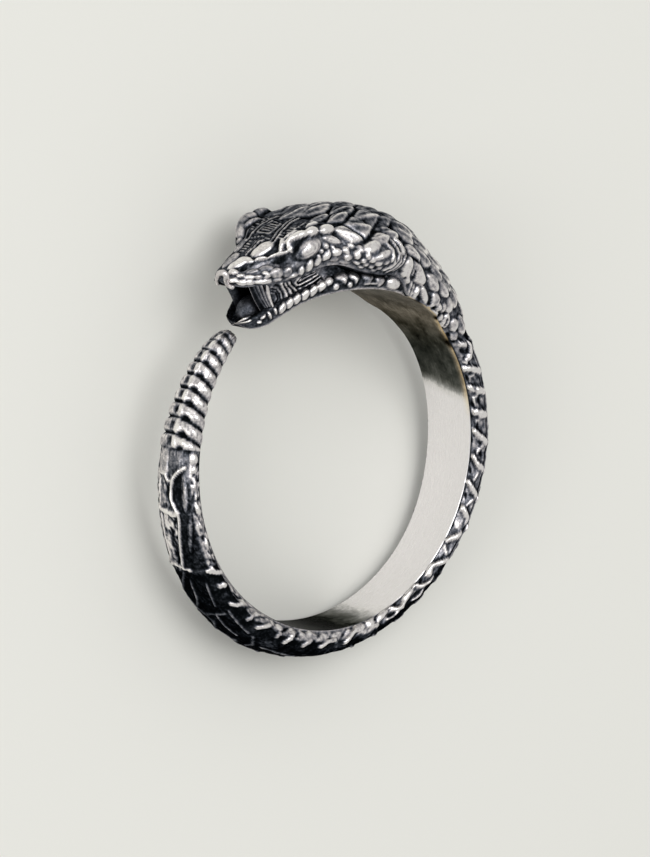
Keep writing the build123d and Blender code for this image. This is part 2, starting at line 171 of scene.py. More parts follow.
def smooth_run(corners, shares):
    """Places on a smooth curve through each row's corners, at shares of its length."""
    first = 2 * corners[:, :1] - corners[:, 1:2]
    last = 2 * corners[:, -1:] - corners[:, -2:-1]
    path = np.concatenate([first, corners, last], axis=1)[:, :, None]
    p, q, r, s = path[:, :-3], path[:, 1:-2], path[:, 2:-1], path[:, 3:]
    f = np.linspace(0, 1, CURVE_STEPS, endpoint=False)[:, None]
    fine = q + 0.5 * f * (r - p + f * (2 * p - 5 * q + 4 * r - s + f * (3 * q - p - 3 * r + s)))
    fine = np.concatenate([fine.reshape(len(corners), -1, 2), corners[:, -1:]], axis=1)
    run = np.cumsum(np.hypot(*np.moveaxis(np.diff(fine, axis=1), 2, 0)), axis=1)
    points = np.empty((len(corners), len(shares), 2))
    for row, line, far in zip(points, fine, run):
        reach = np.concatenate([[0.0], far])
        for k in (0, 1):
            row[:, k] = np.interp(shares * far[-1], reach, line[:, k])
    return points


def from_shares(corners, half_width, height):
    """Corners (pairs of columns) as an array of places across and out."""
    return np.array(corners).transpose(2, 0, 1) * (half_width, height) + (0.0, FINGER_RADIUS)


print("sections:", len(TRUNK), "of the trunk,", len(SKULL), "of the skull,", len(JAW), "of the jaw")

# %% [markdown]
# ## The snake's skin as a wrapped grid
#
# A section runs from the wall's edge over the back to the other edge, then along the inside. The
# back is measured in forty steps: 0 is the spine, and 20 and -20 are the two edges.

# %% The back and the underside of a section
EDGE = 20.0
MOUTH_ROOF = 0.31


def ease(value, start, end):
    """0 before the start, 1 after the end, and a soft step between."""
    f = np.clip((value - start) / (end - start), 0, 1)
    return f * f * (3 - 2 * f)


def back_and_inside(angles, shares):
    """Half outlines of the snake's back at shares from the spine, and of its inside."""
    t, k = look_up(TRUNK, angles), look_up(SKULL, angles)
    zero = np.zeros_like(angles)
    trunk = from_shares([
        (zero, t.crown), (0.45 * t.flank, 0.93 * t.crown),
        (0.84 * t.flank, (t.crown + t.flank_up) / 2 + 0.05), (t.flank, t.flank_up),
        (0.5 * (t.flank + t.wall) + 0.025, 0.32 * t.flank_up), (t.wall, zero),
    ], TRUNK_HALF_WIDTH, TRUNK_THICKNESS)
    skull = from_shares([
        (zero, k.crown), (0.6 * k.brow, 0.6 * k.crown + 0.4 * k.brow_up + 0.012),
        (k.brow, k.brow_up), (k.cheek, k.cheek_up), (k.lip, k.lip_up),
    ], HEAD_HALF_WIDTH, HEAD_HEIGHT)
    wall = from_shares([(t.wall, zero), (0.5 * t.wall, zero), (zero, zero)], TRUNK_HALF_WIDTH, 1.0)
    roof = np.maximum(k.palate, MOUTH_ROOF * ease(angles, 72.5, 86) / HEAD_HEIGHT)
    mouth = from_shares([
        (k.lip, k.lip_up), (0.62 * k.lip, 0.35 * k.lip_up + 0.65 * roof), (zero, roof),
    ], HEAD_HALF_WIDTH, HEAD_HEIGHT)
    neck = ease(angles, NECK_START, NECK_END)
    f = neck[:, None, None]
    back = smooth_run(trunk, shares) * (1 - f) + smooth_run(skull, shares) * f
    shift = t.shift * TRUNK_HALF_WIDTH * (1 - neck) + k.shift * HEAD_HALF_WIDTH * neck
    return back, wall * (1 - f) + mouth * f, shift


def closed_sections(back, inside, shift, sides):
    """Whole outlines, from one edge over the spine to the other and back along the inside."""
    back = np.where((sides < 0)[:, None], back * MIRROR, back)
    inside = smooth_run(inside, np.linspace(0, 1, INSIDE_STEPS + 1))
    ring = np.concatenate([back, inside[:, 1:], inside[:, -2:0:-1] * MIRROR], axis=1)
    ring[:, :, 0] += shift[:, None]
    return ring


def round_the_hole(angles, ring):
    """Points in the snake's millimetres from its sections."""
    turn, out = np.radians(angles)[:, None], ring[:, :, 1]
    return np.stack([out * np.cos(turn), out * np.sin(turn), ring[:, :, 0]], axis=2)


def stations(*runs):
    """Places along a line, in runs from a start to an end by a step."""
    parts = [np.linspace(a, b, round((b - a) / step), endpoint=False) for a, b, step in runs]
    return np.concatenate(parts + [[runs[-1][1]]])


# The steps are small where much is seen and wider elsewhere
skin_angles = stations(
    (-221.2, -144.0, 0.54), (-144.0, -62.0, 0.68), (-62.0, 44.0, 0.72), (44.0, 84.0, 0.45),
    (84.0, 132.4, 0.32))
skin_sides = stations((-EDGE, -10.0, 0.50), (-10.0, EDGE, 0.27))
skin_ring = closed_sections(*back_and_inside(skin_angles, np.abs(skin_sides) / EDGE), skin_sides)
skin_ring[:, :, 1] = np.maximum(skin_ring[:, :, 1], FINGER_RADIUS)
skin_points = round_the_hole(skin_angles, skin_ring)
print("skin:", skin_points.shape[0], "stations of", skin_points.shape[1], "points")

# %% [markdown]
# ## Relief
#
# A scale is a low cushion, a rib is a thin ridge and a pit is a shallow dent. Each is a row of a
# table with its place, its size, its height and how bare it is rubbed, from 0 for black to 1 for
# bright silver. All are pressed into one height map over the snake's back. The tallest form wins
# where two overlap, as in a carved wax.

# %% Pressing scales, ribs and pits into a height map
Scale = namedtuple(
    "Scale", "angle side long wide rise rub form lean keel tilt taper",
    defaults=(0.45, 2.0, 0.0, 0.0, 0.0, 0.0))
Rib = namedtuple("Rib", "points half_width rise rub")


def rib_along(places, *sizes):
    """A rib along a row of places, each an angle and a side."""
    return Rib(list(zip(places[::2], places[1::2])), *sizes)


def ribs_from(rows):
    """Ribs from rows of a half width, a rise and a rub, and then the places."""
    return [rib_along(row[3:], *row[:3]) for row in rows]


def pits(places, depth):
    """Small dark dents of one size."""
    return [Scale(angle, side, 1.5, 0.9, -depth, 0.0, lean=0.3) for angle, side in places]


def bell(value, middle, width, power=2):
    """1 at the middle, and falling off on both sides by a width."""
    return np.exp(-(((value - middle) / width) ** power))


class Sheet:
    """A height map over a grid of stations, and how bare each place is rubbed."""

    def __init__(self, points, angles, sides, rub):
        points = points[:, : len(sides)]
        self.angles, self.sides = angles, sides
        self.angle, self.side = angles[:, None], sides[None, :]
        self.along_mm = np.linalg.norm(np.gradient(points, angles, axis=0), axis=2)
        self.across_mm = np.linalg.norm(np.gradient(points, sides, axis=1), axis=2)
        self.height = np.zeros(points.shape[:2])
        self.rub = np.full(points.shape[:2], rub)

    def window(self, angle, side, reach, spread):
        """The part of the sheet within a reach along and a spread across of a place."""
        rows = slice(*np.searchsorted(self.angles, [angle - reach, angle + reach]))
        columns = slice(*np.searchsorted(self.sides, [side - spread, side + spread]))
        return rows, columns

    def place_in(self, scale):
        """The scale's window, and how far each place in it is along and across the scale."""
        reach = scale.long * (1 + abs(scale.taper))
        spread = scale.wide + abs(scale.lean) * reach
        rows, columns = self.window(scale.angle, scale.side, reach, spread)
        ahead = self.angle[rows] - scale.angle
        across = (self.side[:, columns] - (scale.side + scale.lean * ahead)) / scale.wide
        along = ahead / (scale.long * (1 + scale.taper * np.clip(across, -1, 1)))
        off = (np.abs(along) ** scale.form + np.abs(across) ** scale.form) ** (1 / scale.form)
        return (rows, columns), along, across, off

    def press_scales(self, scales):
        """Cushions with a steep edge, a keel if wanted, and an end tilted up towards the tail."""
        for scale in scales:
            window, along, across, off = self.place_in(scale)
            ridge = np.clip(1 - np.abs(across) / 0.30, 0, 1) * np.clip(1 - off, 0, 1)
            keeled = min(10.0 * scale.keel, 1.0)
            rim = bell(off, 0.80, 0.11) * keeled
            top = scale.rise * (1 - off**4) * (1 - scale.tilt * along) + scale.keel * ridge
            top += 0.014 * rim
            wins = (off < 1) & (top > self.height[window])
            self.height[window] = np.where(wins, top, self.height[window])
            shine = scale.rub * (1 - 0.6 * scale.tilt * along) + 1.6 * scale.keel * ridge
            shine += 0.20 * rim + (0.07 * np.cos(12 * across) - 0.10) * keeled
            self.rub[window] = np.where(wins, shine, self.rub[window])

    def press_dents(self, scales):
        """Soft forms added to what is there: a swelling, or a hollow where the rise is negative."""
        for scale in scales:
            window, along, across, off = self.place_in(scale)
            off = np.clip(off, 0, 1)
            weight = (1 - off) ** 2 * (1 + 2 * off)
            self.height[window] += scale.rise * weight
            self.rub[window] += (scale.rub - self.rub[window]) * np.minimum(1.6 * weight, 1.0)

    def press_ribs(self, ribs):
        """Round ridges along lines of points; a negative rise cuts a groove."""
        legs = [(rib, *ends) for rib in ribs for ends in zip(rib.points, rib.points[1:])]
        for rib, (a0, s0), (a1, s1) in legs:
            row = min(np.searchsorted(self.angles, (a0 + a1) / 2), len(self.angles) - 1)
            column = min(np.searchsorted(self.sides, (s0 + s1) / 2), len(self.sides) - 1)
            deg, step = self.along_mm[row, column], self.across_mm[row, column]
            reach = abs(a1 - a0) / 2 + rib.half_width / deg
            spread = abs(s1 - s0) / 2 + rib.half_width / step
            window = self.window((a0 + a1) / 2, (s0 + s1) / 2, reach, spread)
            x = (self.angle[window[0]] - a0) * deg
            y = (self.side[:, window[1]] - s0) * step
            dx, dy = (a1 - a0) * deg, (s1 - s0) * step
            f = np.clip((x * dx + y * dy) / (dx * dx + dy * dy), 0, 1)
            off = np.hypot(x - f * dx, y - f * dy) / rib.half_width
            block = self.height[window]
            form = rib.rise * np.sqrt(np.clip(1 - off**2, 0, 1))
            wins = (off < 1) & ((form > block) if rib.rise > 0 else (form < block))
            self.height[window] = np.where(wins, form, block)
            self.rub[window] = np.where(wins, rib.rub, self.rub[window])

    def between(self, start, end, soft):
        """1 for stations between two angles, fading at both ends."""
        past = ease(self.angle, end - soft, end + soft)
        return ease(self.angle, start - soft, start + soft) * (1 - past)

    def beyond(self, start, end):
        """A soft step across the sheet, up towards its near edge."""
        return ease(self.side, start, end)


def mottle(sheet, size, seed):
    """Soft uneven waves of about a size in millimetres, the same each time."""
    dice = np.random.default_rng(seed)
    u = np.cumsum(np.gradient(sheet.angles)) * sheet.along_mm.mean() / size
    v = np.cumsum(np.gradient(sheet.sides)) * sheet.across_mm.mean() / size
    knots = dice.standard_normal((int(u[-1]) + 3, int(v[-1]) + 3))
    i, j = u.astype(int), v.astype(int)
    f, g = (u - i)[:, None], (v - j)[None, :]
    f, g = f * f * (3 - 2 * f), g * g * (3 - 2 * g)
    low, high = (
        knots[np.ix_(i + k, j)] * (1 - g) + knots[np.ix_(i + k, j + 1)] * g for k in (0, 1))
    return low * (1 - f) + high * f


back = len(skin_sides)
skin = Sheet(skin_points, skin_angles, skin_sides, 0.12)

# %% [markdown]
# ## The rattle
#
# Nine rings of horn, and a small button at the end. The groove between two rings is a narrow cut
# on top that opens into a dark wedge on the flank and leans forward further down. Each ring has a
# ridge along the top, a flat on one side of it and a round knob low on the flank, and painted
# shade darkens the half of its flank before the next groove.

# %% The rattle's rings
RATTLE_END = -181.8
RATTLE_GROOVES = [
    -224.5, -219.4, -216.2, -212.5, -208.4, -204.2, -199.8, -195.5, -191.0, -186.2, RATTLE_END]
RATTLE_LEAN = 0.0085


def press_rattle(sheet):
    """All the rings at once, from each place's share of the way between two grooves."""
    angle, side = sheet.angle, sheet.side
    grown = ease(angle, -222.0, -190.0)
    lean = RATTLE_LEAN * (0.4 + 0.6 * grown) * side**2 * np.where(side > 0, 1.0, 0.3)
    ring = np.interp(angle - lean, RATTLE_GROOVES, np.arange(len(RATTLE_GROOVES)))
    part = ring - np.floor(ring)
    gap = np.minimum(part, 1 - part)
    wedge = 0.22 * bell(side, 7.2, 2.2) * (part > 0.5) * (0.3 + 0.7 * grown)
    cut = 0.046 + wedge - 0.034 * bell(side, 3.4, 1.2) - 0.022 * ease(side, 9.0, 11.5)
    groove = 1 - ease(gap, cut * 0.55, cut + 0.09)
    swell = 0.06 * (1 - (2 * part - 1) ** 2)
    ridge = bell(side, 3.2, 1.3)
    flat = bell(side, -0.5, 1.8, 4) * ease(gap, 0.17, 0.27) * (angle > -219.4)
    bead = np.hypot((part - 0.5) / 0.27, (np.abs(side) - 12.6) / 2.3)
    knob = bell(bead, 0.0, 1.0)
    form = swell + 0.05 * ridge - 0.07 * flat + 0.09 * knob - (0.15 + swell) * groove
    here = angle < RATTLE_END
    sheet.height += form * (here * (0.40 + 0.60 * ease(angle, -220.0, -208.0)))
    shine = 0.66 + 0.3 * ridge - 0.42 * flat + 0.30 * knob - 0.48 * bell(bead, 0.75, 0.16)
    shine -= 0.60 * groove * (0.5 + 0.5 * ease(angle, -218.0, -208.0))
    # Painted shade: a broad darkening of each ring's flank towards the next groove
    shine -= 0.36 * bell(side, 6.8, 1.8) * ease(part, 0.40, 0.85)
    shine += 0.10 * mottle(sheet, 0.14, 8)
    sheet.rub = np.where(here, shine, sheet.rub)


press_rattle(skin)
print("rattle of", len(RATTLE_GROOVES) - 2, "rings and an end button")

# %% [markdown]
# ## The big scales behind the rattle
#
# Three large plates lie on the back, parted from the flank by one thick wavy rib. Below it are two
# long dark hollows, each with a thin bright keel, and a row of small lumps along the inner edge.

# %% Plates, wavy rib and hollows
PLATES = named(Scale, [
    (-178, 4.4, 3.7, 4.8, 0.03, 0.44, 2.4, 0, 0, 0.3),
    (-177.7, -2.4, 4.1, 3.6, 0.09, 0.7, 2.6),
    (-168.3, -2.6, 4.9, 1.8, 0.04, 0.62, 4),
    (-154.5, -2.9, 8.2, 1.5, 0.05, 0.62, 4),
])
PLATE_RIBS = ribs_from([
    (0.09, 0.13, 0.85, -176.8, 10, -175.4, 6.6, -173.6, 4.2, -170.5, 2.9, -167.4, 2.8, -165, 4.2,
     -163.2, 5.8),
    (0.08, 0.11, 0.78, -163.2, 5.8, -160, 5.6, -156, 4.4, -151.5, 3, -147, 1.6),
    (0.13, 0.13, 0.85, -164.6, -6.5, -163.6, -3.5, -163.3, 0, -162.6, 3, -163.2, 5.5),
    (0.08, 0.1, 0.85, -175.4, -7, -174.2, -4.5, -174.2, -1, -172.8, 0.6, -172.4, 3),
    (0.07, 0.11, 0.8, -145.4, -9.5, -146.4, -3.5, -146, 0.5, -145.2, 4.6),
    (0.08, 0.09, 0.85, -172.5, -4.6, -168, -4.6, -164.5, -5),
    (0.08, 0.1, 0.85, -162.5, -4.6, -155, -4.4, -149.5, -4.6, -146.4, -8.5),
    (0.04, 0, 0.62, -175, 11, -172, 11.2, -169, 10.9, -166, 9.6, -163.4, 8),
    (0.03, -0.02, 0.3, -175, 11, -172.6, 9.2, -170.4, 8, -166.4, 7.6, -163.4, 8),
    (0.04, 0, 0.5, -163.4, 12.2, -160, 10.9, -157, 9.6, -152, 7.2),
])
HOLLOWS = named(Scale, [
    (-169.6, 7.8, 7.6, 4.4, -0.16, 0.03, 2, 0.1),
    (-154.6, 8.2, 9.6, 4.2, -0.15, 0.03, 2, -0.28),
    (-168, 1, 5, 1.4, -0.08, 0.1),
    (-153, 0.2, 6.4, 1.9, -0.09, 0.1),
])
EDGE_LUMPS = named(Scale, [
    (-179.6, 14, 1.8, 2.3, 0.1, 0.8, 2.4, 0.2),
    (-176.2, 14.4, 1.3, 1.6, 0.1, 0.85, 2, 0.2),
    (-171.4, 14.6, 2, 0.8, 0.07, 0.6, 2, -0.2),
    (-168.2, 14.8, 1.5, 0.7, 0.07, 0.6, 2, -0.2),
    (-163.8, 14.9, 1.9, 1.2, 0.1, 0.85, 2, 0.2),
    (-158.6, 14.6, 1.2, 0.7, 0.06, 0.55, 2, 0.3),
    (-152.6, 15.2, 2, 0.9, 0.1, 0.85, 2, -0.2),
    (-148.4, 14.4, 1.2, 0.7, 0.06, 0.5, 2, 0.2),
])
LEAVES = named(Scale, [
    (-169.4, 9.3, 6, 1.9, 0, 0.6, 1.6, 0, 0.1),
    (-157, 9.2, 6.4, 1.3, 0, 0.44, 1.6, -0.4, 0.08),
])
WAVY_RIB = [
    (-177.0, 9.0), (-173.6, 4.2), (-170.5, 2.9), (-167.4, 2.8), (-163.2, 5.8), (-156.0, 4.1),
    (-147.0, 1.6)]
left_zone = skin.between(RATTLE_END, -145.0, 0.6)
rib_side = np.interp(skin.angle, *zip(*WAVY_RIB))
above_rib = left_zone * (1 - skin.beyond(rib_side - 1.2, rib_side - 0.2))
speckle = mottle(skin, 0.13, 3) + 0.6 * mottle(skin, 0.30, 4)
strip = left_zone * skin.beyond(11.6, 13.0) * (1 - skin.beyond(17.5, 19.5))
root = skin.between(RATTLE_END, -172.8, 1.6) * skin.beyond(6.5, 8.5) * (1 - skin.beyond(15.0, 17.0))
skin.height -= 0.035 * left_zone
skin.height += left_zone * 0.020 * speckle * skin.beyond(11.6, 13.0)
skin.rub += (0.42 + 0.26 * speckle) * above_rib
skin.rub += (0.46 + 0.24 * speckle) * strip + 0.42 * root
skin.press_dents(HOLLOWS)
skin.press_scales(PLATES + EDGE_LUMPS)
skin.rub += 0.24 * speckle * above_rib * ease(skin.angle, -175.0, -170.0)
for leaf in LEAVES:
    window, along, across, off = skin.place_in(leaf)
    skin.rub[window] = np.where(off < 1, leaf.rub + 0.10 * speckle[window], skin.rub[window])
    skin.height[window] += np.where(off < 1, leaf.keel * (1 - off), 0.0)
skin.press_ribs(PLATE_RIBS)
print("plates:", len(PLATES), "ribs:", len(PLATE_RIBS))

# %% [markdown]
# ## The net of ribs round the foot and up the flank
#
# From the foot of the ring to the neck the scales are drawn as a net: bright crossing ribs with a
# sunken panel in every mesh. The ribs that the picture shows, low on one flank, have their own
# rows; a regular net covers the rest.

# %% The ribs of the net
NET_START = -144.0
NET_END = 44.0
FLANK_RIBS = ribs_from([
    (0.126, 0.12, 0.85, -144.2, 11.6, -142.6, 14, -141, 16.4),
    (0.12, 0.08, 0.62, -137.9, 12.6, -136.6, 15.2),
    (0.12, 0.08, 0.64, -130.6, 12.2, -128.6, 14, -127.4, 16),
    (0.12, 0.08, 0.5, -122.6, 12.8, -121.6, 15),
    (0.12, 0.08, 0.62, -118, 12.6, -116, 14.2, -114, 15.8),
    (0.11, 0.06, 0.45, -110, 13.4, -109, 15),
    (0.13, 0.08, 0.62, -106.2, 12.8, -104.6, 14.6, -103.6, 16.6),
    (0.12, 0.06, 0.5, -99, 13.4, -96.2, 15.8),
    (0.12, 0.07, 0.62, -92, 13.8, -89, 15.6, -86, 16),
    (0.12, 0.08, 0.7, -82, 14.4, -79, 16.4, -75, 18.6),
    (0.09, 0.1, 0.85, -71.4, 19.2, -70, 16.6, -67.4, 16.2),
    (0.11, 0.13, 0.9, -60.4, 19.6, -58.9, 17.2, -56.4, 16.4, -55, 17.4),
    (0.11, 0.14, 0.9, -48, 19.6, -46.4, 17, -43.4, 15.9, -41.4, 16.2),
    (0.07, 0.08, 0.5, -63.4, 16, -61, 15.6, -58.6, 16),
    (0.07, 0.08, 0.5, -51.6, 15.6, -49, 15, -46.4, 15.6),
    (0.16, 0.03, 0.46, 34, 12.3, 24, 12.3, 10, 13.3, 0, 13.5, -10, 13.8, -22, 13.9, -33, 14.4),
    (0.14, 0.15, 0.84, -34, 15, -38.6, 19),
    (0.065, 0.1, 0.64, -33.6, 14.8, -30, 19.2),
    (0.14, 0.14, 0.84, -24.2, 14.6, -28.6, 19.2),
    (0.157, 0.16, 0.84, -22, 13.4, -19, 14.6, -16.2, 18.2),
    (0.065, 0.09, 0.64, -13, 15.4, -17.4, 18.8),
    (0.157, 0.16, 0.84, -12.2, 13.4, -9.6, 16.4, -7.4, 18.8),
    (0.065, 0.1, 0.64, -4, 15.6, -8.8, 18.2),
    (0.176, 0.16, 0.84, -3.2, 13.6, -1.8, 16.2, 1.2, 18.2),
    (0.065, 0.09, 0.64, 1.2, 18.2, 4.6, 15.4, 5.6, 13.8),
    (0.19, 0.16, 0.84, 5.6, 13.8, 7.4, 16, 9.6, 18.2),
    (0.065, 0.1, 0.64, 9.6, 18.2, 13, 17.6, 14.4, 14.2),
    (0.19, 0.15, 0.84, 14.4, 13.8, 15.8, 17.6),
    (0.065, 0.08, 0.64, 15.8, 17.6, 20.8, 17.8, 22, 14.4),
    (0.19, 0.16, 0.84, 21.8, 13.6, 23, 15.8, 24.8, 18.2),
    (0.065, 0.08, 0.64, 24.8, 18.2, 28, 17.8, 28.8, 14.4),
    (0.19, 0.16, 0.84, 28.4, 13.4, 30.2, 15.2, 31.8, 18.4),
    (0.176, 0.15, 0.84, 33.4, 17.6, 34.8, 15, 38, 13.8, 40.2, 16.4),
])
FLANK_PLATES = named(Scale, [
    (-75, 18.2, 2.6, 1.5, 0.06, 0.88, 3),
    (-69.6, 18.3, 2.2, 1.4, 0.09, 0.92, 3, 0.3),
    (-64.2, 18.6, 3, 1.5, 0.1, 0.95, 3, 0.3),
    (-51.8, 18.7, 3.4, 1.5, 0.1, 0.95, 3, 0.3),
    (-40.4, 18.6, 2.2, 1.6, 0.1, 0.92, 3, 0.3),
])
FAINT_LINES = [
    (-140, 8.5, -135.5, 7.5, -132, 6.5),
    (-128, -1.5, -128.5, 4, -128.5, 8),
    (-128, 4, -123.5, 3.5, -118.5, 4),
    (-129, 10, -123.5, 9.5, -118, 9),
    (-141, 1.5, -134.5, 0),
    (-116, 9, -112.5, 5, -111, 0),
    (-110, 6, -104, 7, -98, 7),
]
FLANK_PITS = [
    (-58.0, 18.9), (-45.0, 18.6), (-61.8, 16.6), (-49.8, 16.4), (-67.8, 18.4), (28.0, 18.5),
    (18.5, 18.5), (11.5, 17.5), (-3.5, 19.0), (37.5, 17.0), (41.5, 16.0), (24.0, 17.0),
    (19.0, 16.0), (1.5, 15.5), (6.5, 19.6), (-12.0, 18.5), (-16.0, 19.6), (-22.5, 19.6),
    (33.0, 16.4),
]


def net_ribs():
    """Two families of slanting ribs that cross every ten degrees or so."""
    net = []
    lines = stations((NET_START, 66.0, 9.6))
    for k, angle in enumerate(lines):
        for far in (k + 2, k - 2):
            if not 0 <= far < len(lines) or max(angle, lines[far]) > NET_END + 4:
                continue
            shine = 0.15 + 0.40 * ease(angle, -100.0, -50.0)
            for end in (-EDGE, 12.0) if angle > -74.0 else (-EDGE,):
                stop = angle + (lines[far] - angle) * abs(end) / EDGE
                points = [(angle, 0.0), ((angle + stop) / 2, end / 2), (stop, end)]
                net.append(Rib(points, 0.065, 0.06, shine))
    return net


# %% The net and the rubbed border pressed into the skin
NET_KNOBS = named(Scale, [
    (-144, 13.2, 1.1, 1, 0.1, 0.75, 2, 0.3),
    (-137.4, 14.2, 1.1, 1, 0.1, 0.75, 2, 0.3),
])
BORDER = [(-146.0, 18.2), (-138.0, 16.5), (-125.0, 14.8), (-100.0, 15.2), (-60.0, 15.4)]
ROLLED = [(-62.0, 16.6), (-46.0, 16.0), (-36.0, 14.8), (-24.0, 12.8)]
border = np.interp(skin.angle, *zip(*BORDER))
band = ease(skin.side - border + 0.5 * mottle(skin, 0.5, 5), -0.5, 0.6)
band = skin.between(-143.0, -58.0, 3.0) * band
ropes = np.cos(1.05 * skin.angle - 1.2 * skin.side + 1.5 * mottle(skin, 0.9, 9))
ropes = ease(ropes, 0.70, 0.98)
sheen = np.clip(mottle(skin, 0.8, 12) + 0.5 * mottle(skin, 0.35, 13), 0.0, 1.6)
rolled = np.interp(skin.angle, *zip(*ROLLED))
flank = skin.between(-60.0, NET_END, 2.0) * skin.beyond(rolled, rolled + 1.2)
net = net_ribs()
skin.height -= 0.055 * skin.between(NET_START, NET_END, 1.0)
skin.press_scales(NET_KNOBS)
skin.rub -= 0.13 * skin.between(NET_START, -50.0, 2.0)
skin.rub += (0.80 + 0.16 * speckle - 0.40 * ropes) * band
skin.height += (0.03 * mottle(skin, 0.30, 10) - 0.05 * ropes) * band
skin.rub += 0.16 * sheen * skin.between(-142.0, -66.0, 5.0) * skin.beyond(5.0, 9.0)
skin.rub += (0.56 + 0.16 * speckle) * flank
skin.height += 0.022 * mottle(skin, 0.34, 6) * flank
skin.press_scales(FLANK_PLATES)
skin.press_ribs(net + FLANK_RIBS + [rib_along(row, 0.07, 0.02, 0.24) for row in FAINT_LINES])
for rib in FLANK_RIBS:
    if rib.half_width > 0.10 and rib.points[0][0] > -60.0:
        crease = [(angle + 1.5, side + 0.3) for angle, side in rib.points]
        skin.press_ribs([Rib(crease, 0.05, -0.05, 0.04)])
skin.press_dents(pits(FLANK_PITS, 0.07))
# Painted shade: a dark line along both edges of the back, where it turns in to the inside
wall_edge_shade = skin.between(-62.0, 46.0, 2.0) * ease(np.abs(skin.side), 19.0, 19.8)
inner_strip = skin.between(-168.0, -64.0, 4.0) * skin.beyond(18.2, 19.0)
skin.rub += (0.15 - skin.rub) * wall_edge_shade * 0.7
skin.rub += (0.62 + 0.08 * speckle - skin.rub) * inner_strip
print("net of", len(net), "ribs and", len(FLANK_RIBS), "on the flank")

# %% [markdown]
# ## Neck and nape
#
# The scales grow towards the head and become loose kites. Each overlaps the next one towards the
# tail, has a keel, and ends in a polished knob.

# %% Scales of the neck and the nape
NECK_SCALES = named(Scale, [
    (45.4, 13.6, 3.4, 2.2, 0.1, 0.5, 1.7, -0.1, 0.08, 0.5),
    (55.2, 12.4, 3.6, 2.2, 0.11, 0.5, 1.7, -0.1, 0.08, 0.5),
    (60.6, 11.4, 3.6, 2.4, 0.1, 0.46, 1.5, -0.1, 0.08, 0.5),
    (67.2, 12.4, 3.6, 2.2, 0.11, 0.5, 1.5, -0.12, 0.09, 0.5),
    (73.8, 11.6, 3.8, 2.4, 0.11, 0.48, 1.5, -0.12, 0.09, 0.5),
    (79.2, 13.5, 3.4, 1.5, 0.13, 0.56, 1.6, 0, 0.06, 0.5),
    (80.4, 9.6, 3.8, 2.6, 0.11, 0.48, 1.5, -0.12, 0.08, 0.5),
    (67.6, 15.2, 3.6, 1.5, 0.12, 0.55, 1.5, -0.15, 0.07, 0.4),
    (62.2, 14.4, 3.4, 1.6, 0.13, 0.58, 1.5, -0.15, 0.07, 0.4),
    (55.6, 15.2, 2.6, 1.6, 0.13, 0.64, 1.8, -0.15, 0.05, 0.4),
    # Tall scales behind the mouth's corner, each with a polished knob
    (80.8, 17.5, 2.4, 2.2, 0.17, 0.66, 2.4, -0.3, 0, 0.1, 0.45),
    (75.6, 15.8, 4.3, 1.6, 0.16, 0.62, 2.2, -0.05, 0, 0.3),
    (81.6, 19, 0.7, 0.5, 0.2, 0.9),
    (78.5, 18.6, 1, 0.6, 0.2, 0.97),
    (72.3, 16.2, 1.3, 1, 0.2, 0.92, 2.2),
    (72.2, 18.8, 1.1, 1.4, 0.15, 0.85),
    (68.6, 18.3, 2.9, 0.95, 0.17, 0.86, 2.2, -0.36),
    (63.4, 17.8, 2.8, 1.6, 0.15, 0.52, 2.2, -0.1),
    (60.4, 18.4, 1.3, 0.9, 0.2, 0.97, 2.2),
    (63.7, 19.1, 1.1, 0.6, 0.18, 0.85),
    (51.9, 18.2, 2.1, 1.9, 0.17, 0.88, 2.2, -0.3),
    (54.9, 18.9, 1.2, 1.2, 0.12, 0.52),
    (57.8, 17.4, 1.6, 1.2, 0.11),
    (48, 16.2, 2.2, 1.7, 0.12, 0.56, 2, -0.1, 0, 0.3, 0.2),
    (44.6, 17.6, 1.8, 1.6, 0.12, 0.45, 2.2, -0.1, 0, 0.3, 0.2),
    # Kites from the brow back over the neck
    (86.8, 11.2, 3.3, 1.5, 0.14, 0.6, 1.3, -0.1, 0.1, 0.5),
    (90.8, 12.4, 3.6, 1.5, 0.14, 0.66, 1.3, 0.1, 0.08, 0.5),
    (91.4, 7.5, 5.6, 2.6, 0.15, 0.54, 1.05, 0.14, 0.12, 0.5),
    (95.7, 9.8, 4.3, 2.8, 0.15, 0.58, 1.05, -0.05, 0.12, 0.5),
    (99.3, 7.1, 4.6, 1.8, 0.13, 0.54, 1.3, 0.38, 0.1, 0.5),
    (94.6, 3.6, 4.8, 2.6, 0.12, 0.46, 1.1, 0.16, 0.1, 0.5),
    (100.4, 12, 3.9, 2.1, 0.15, 0.58, 1.15, -0.22, 0.11, 0.5),
    (105.6, 13.5, 2.8, 1.1, 0.12, 0.52, 1.5, -0.18, 0.05, 0.5),
    (103, 5.2, 3.6, 1.5, 0.1, 0.42, 1.6, 0.2, 0.06, 0.5),
    (86.6, 7.4, 3.8, 2.4, 0.12, 0.42, 1.2, 0, 0.09, 0.5),
    (83.4, 4.6, 3.6, 2.4, 0.12, 0.42, 1.2, 0, 0.09, 0.5),
    (88.4, 10.2, 2.6, 1.8, 0.1, 0.44, 1.3, 0, 0.08, 0.5),
    # Bumps of the crown against the sky
    (100.5, -5.5, 4.6, 3, 0.2, 0.46, 1.8, 0, 0.06, 0.4),
    (91.8, 0.4, 3.8, 2.6, 0.17, 0.44, 1.8, 0, 0.06, 0.4),
    (86.2, 3.2, 3.6, 2.4, 0.17, 0.44, 1.8, 0.1, 0.06, 0.5),
])
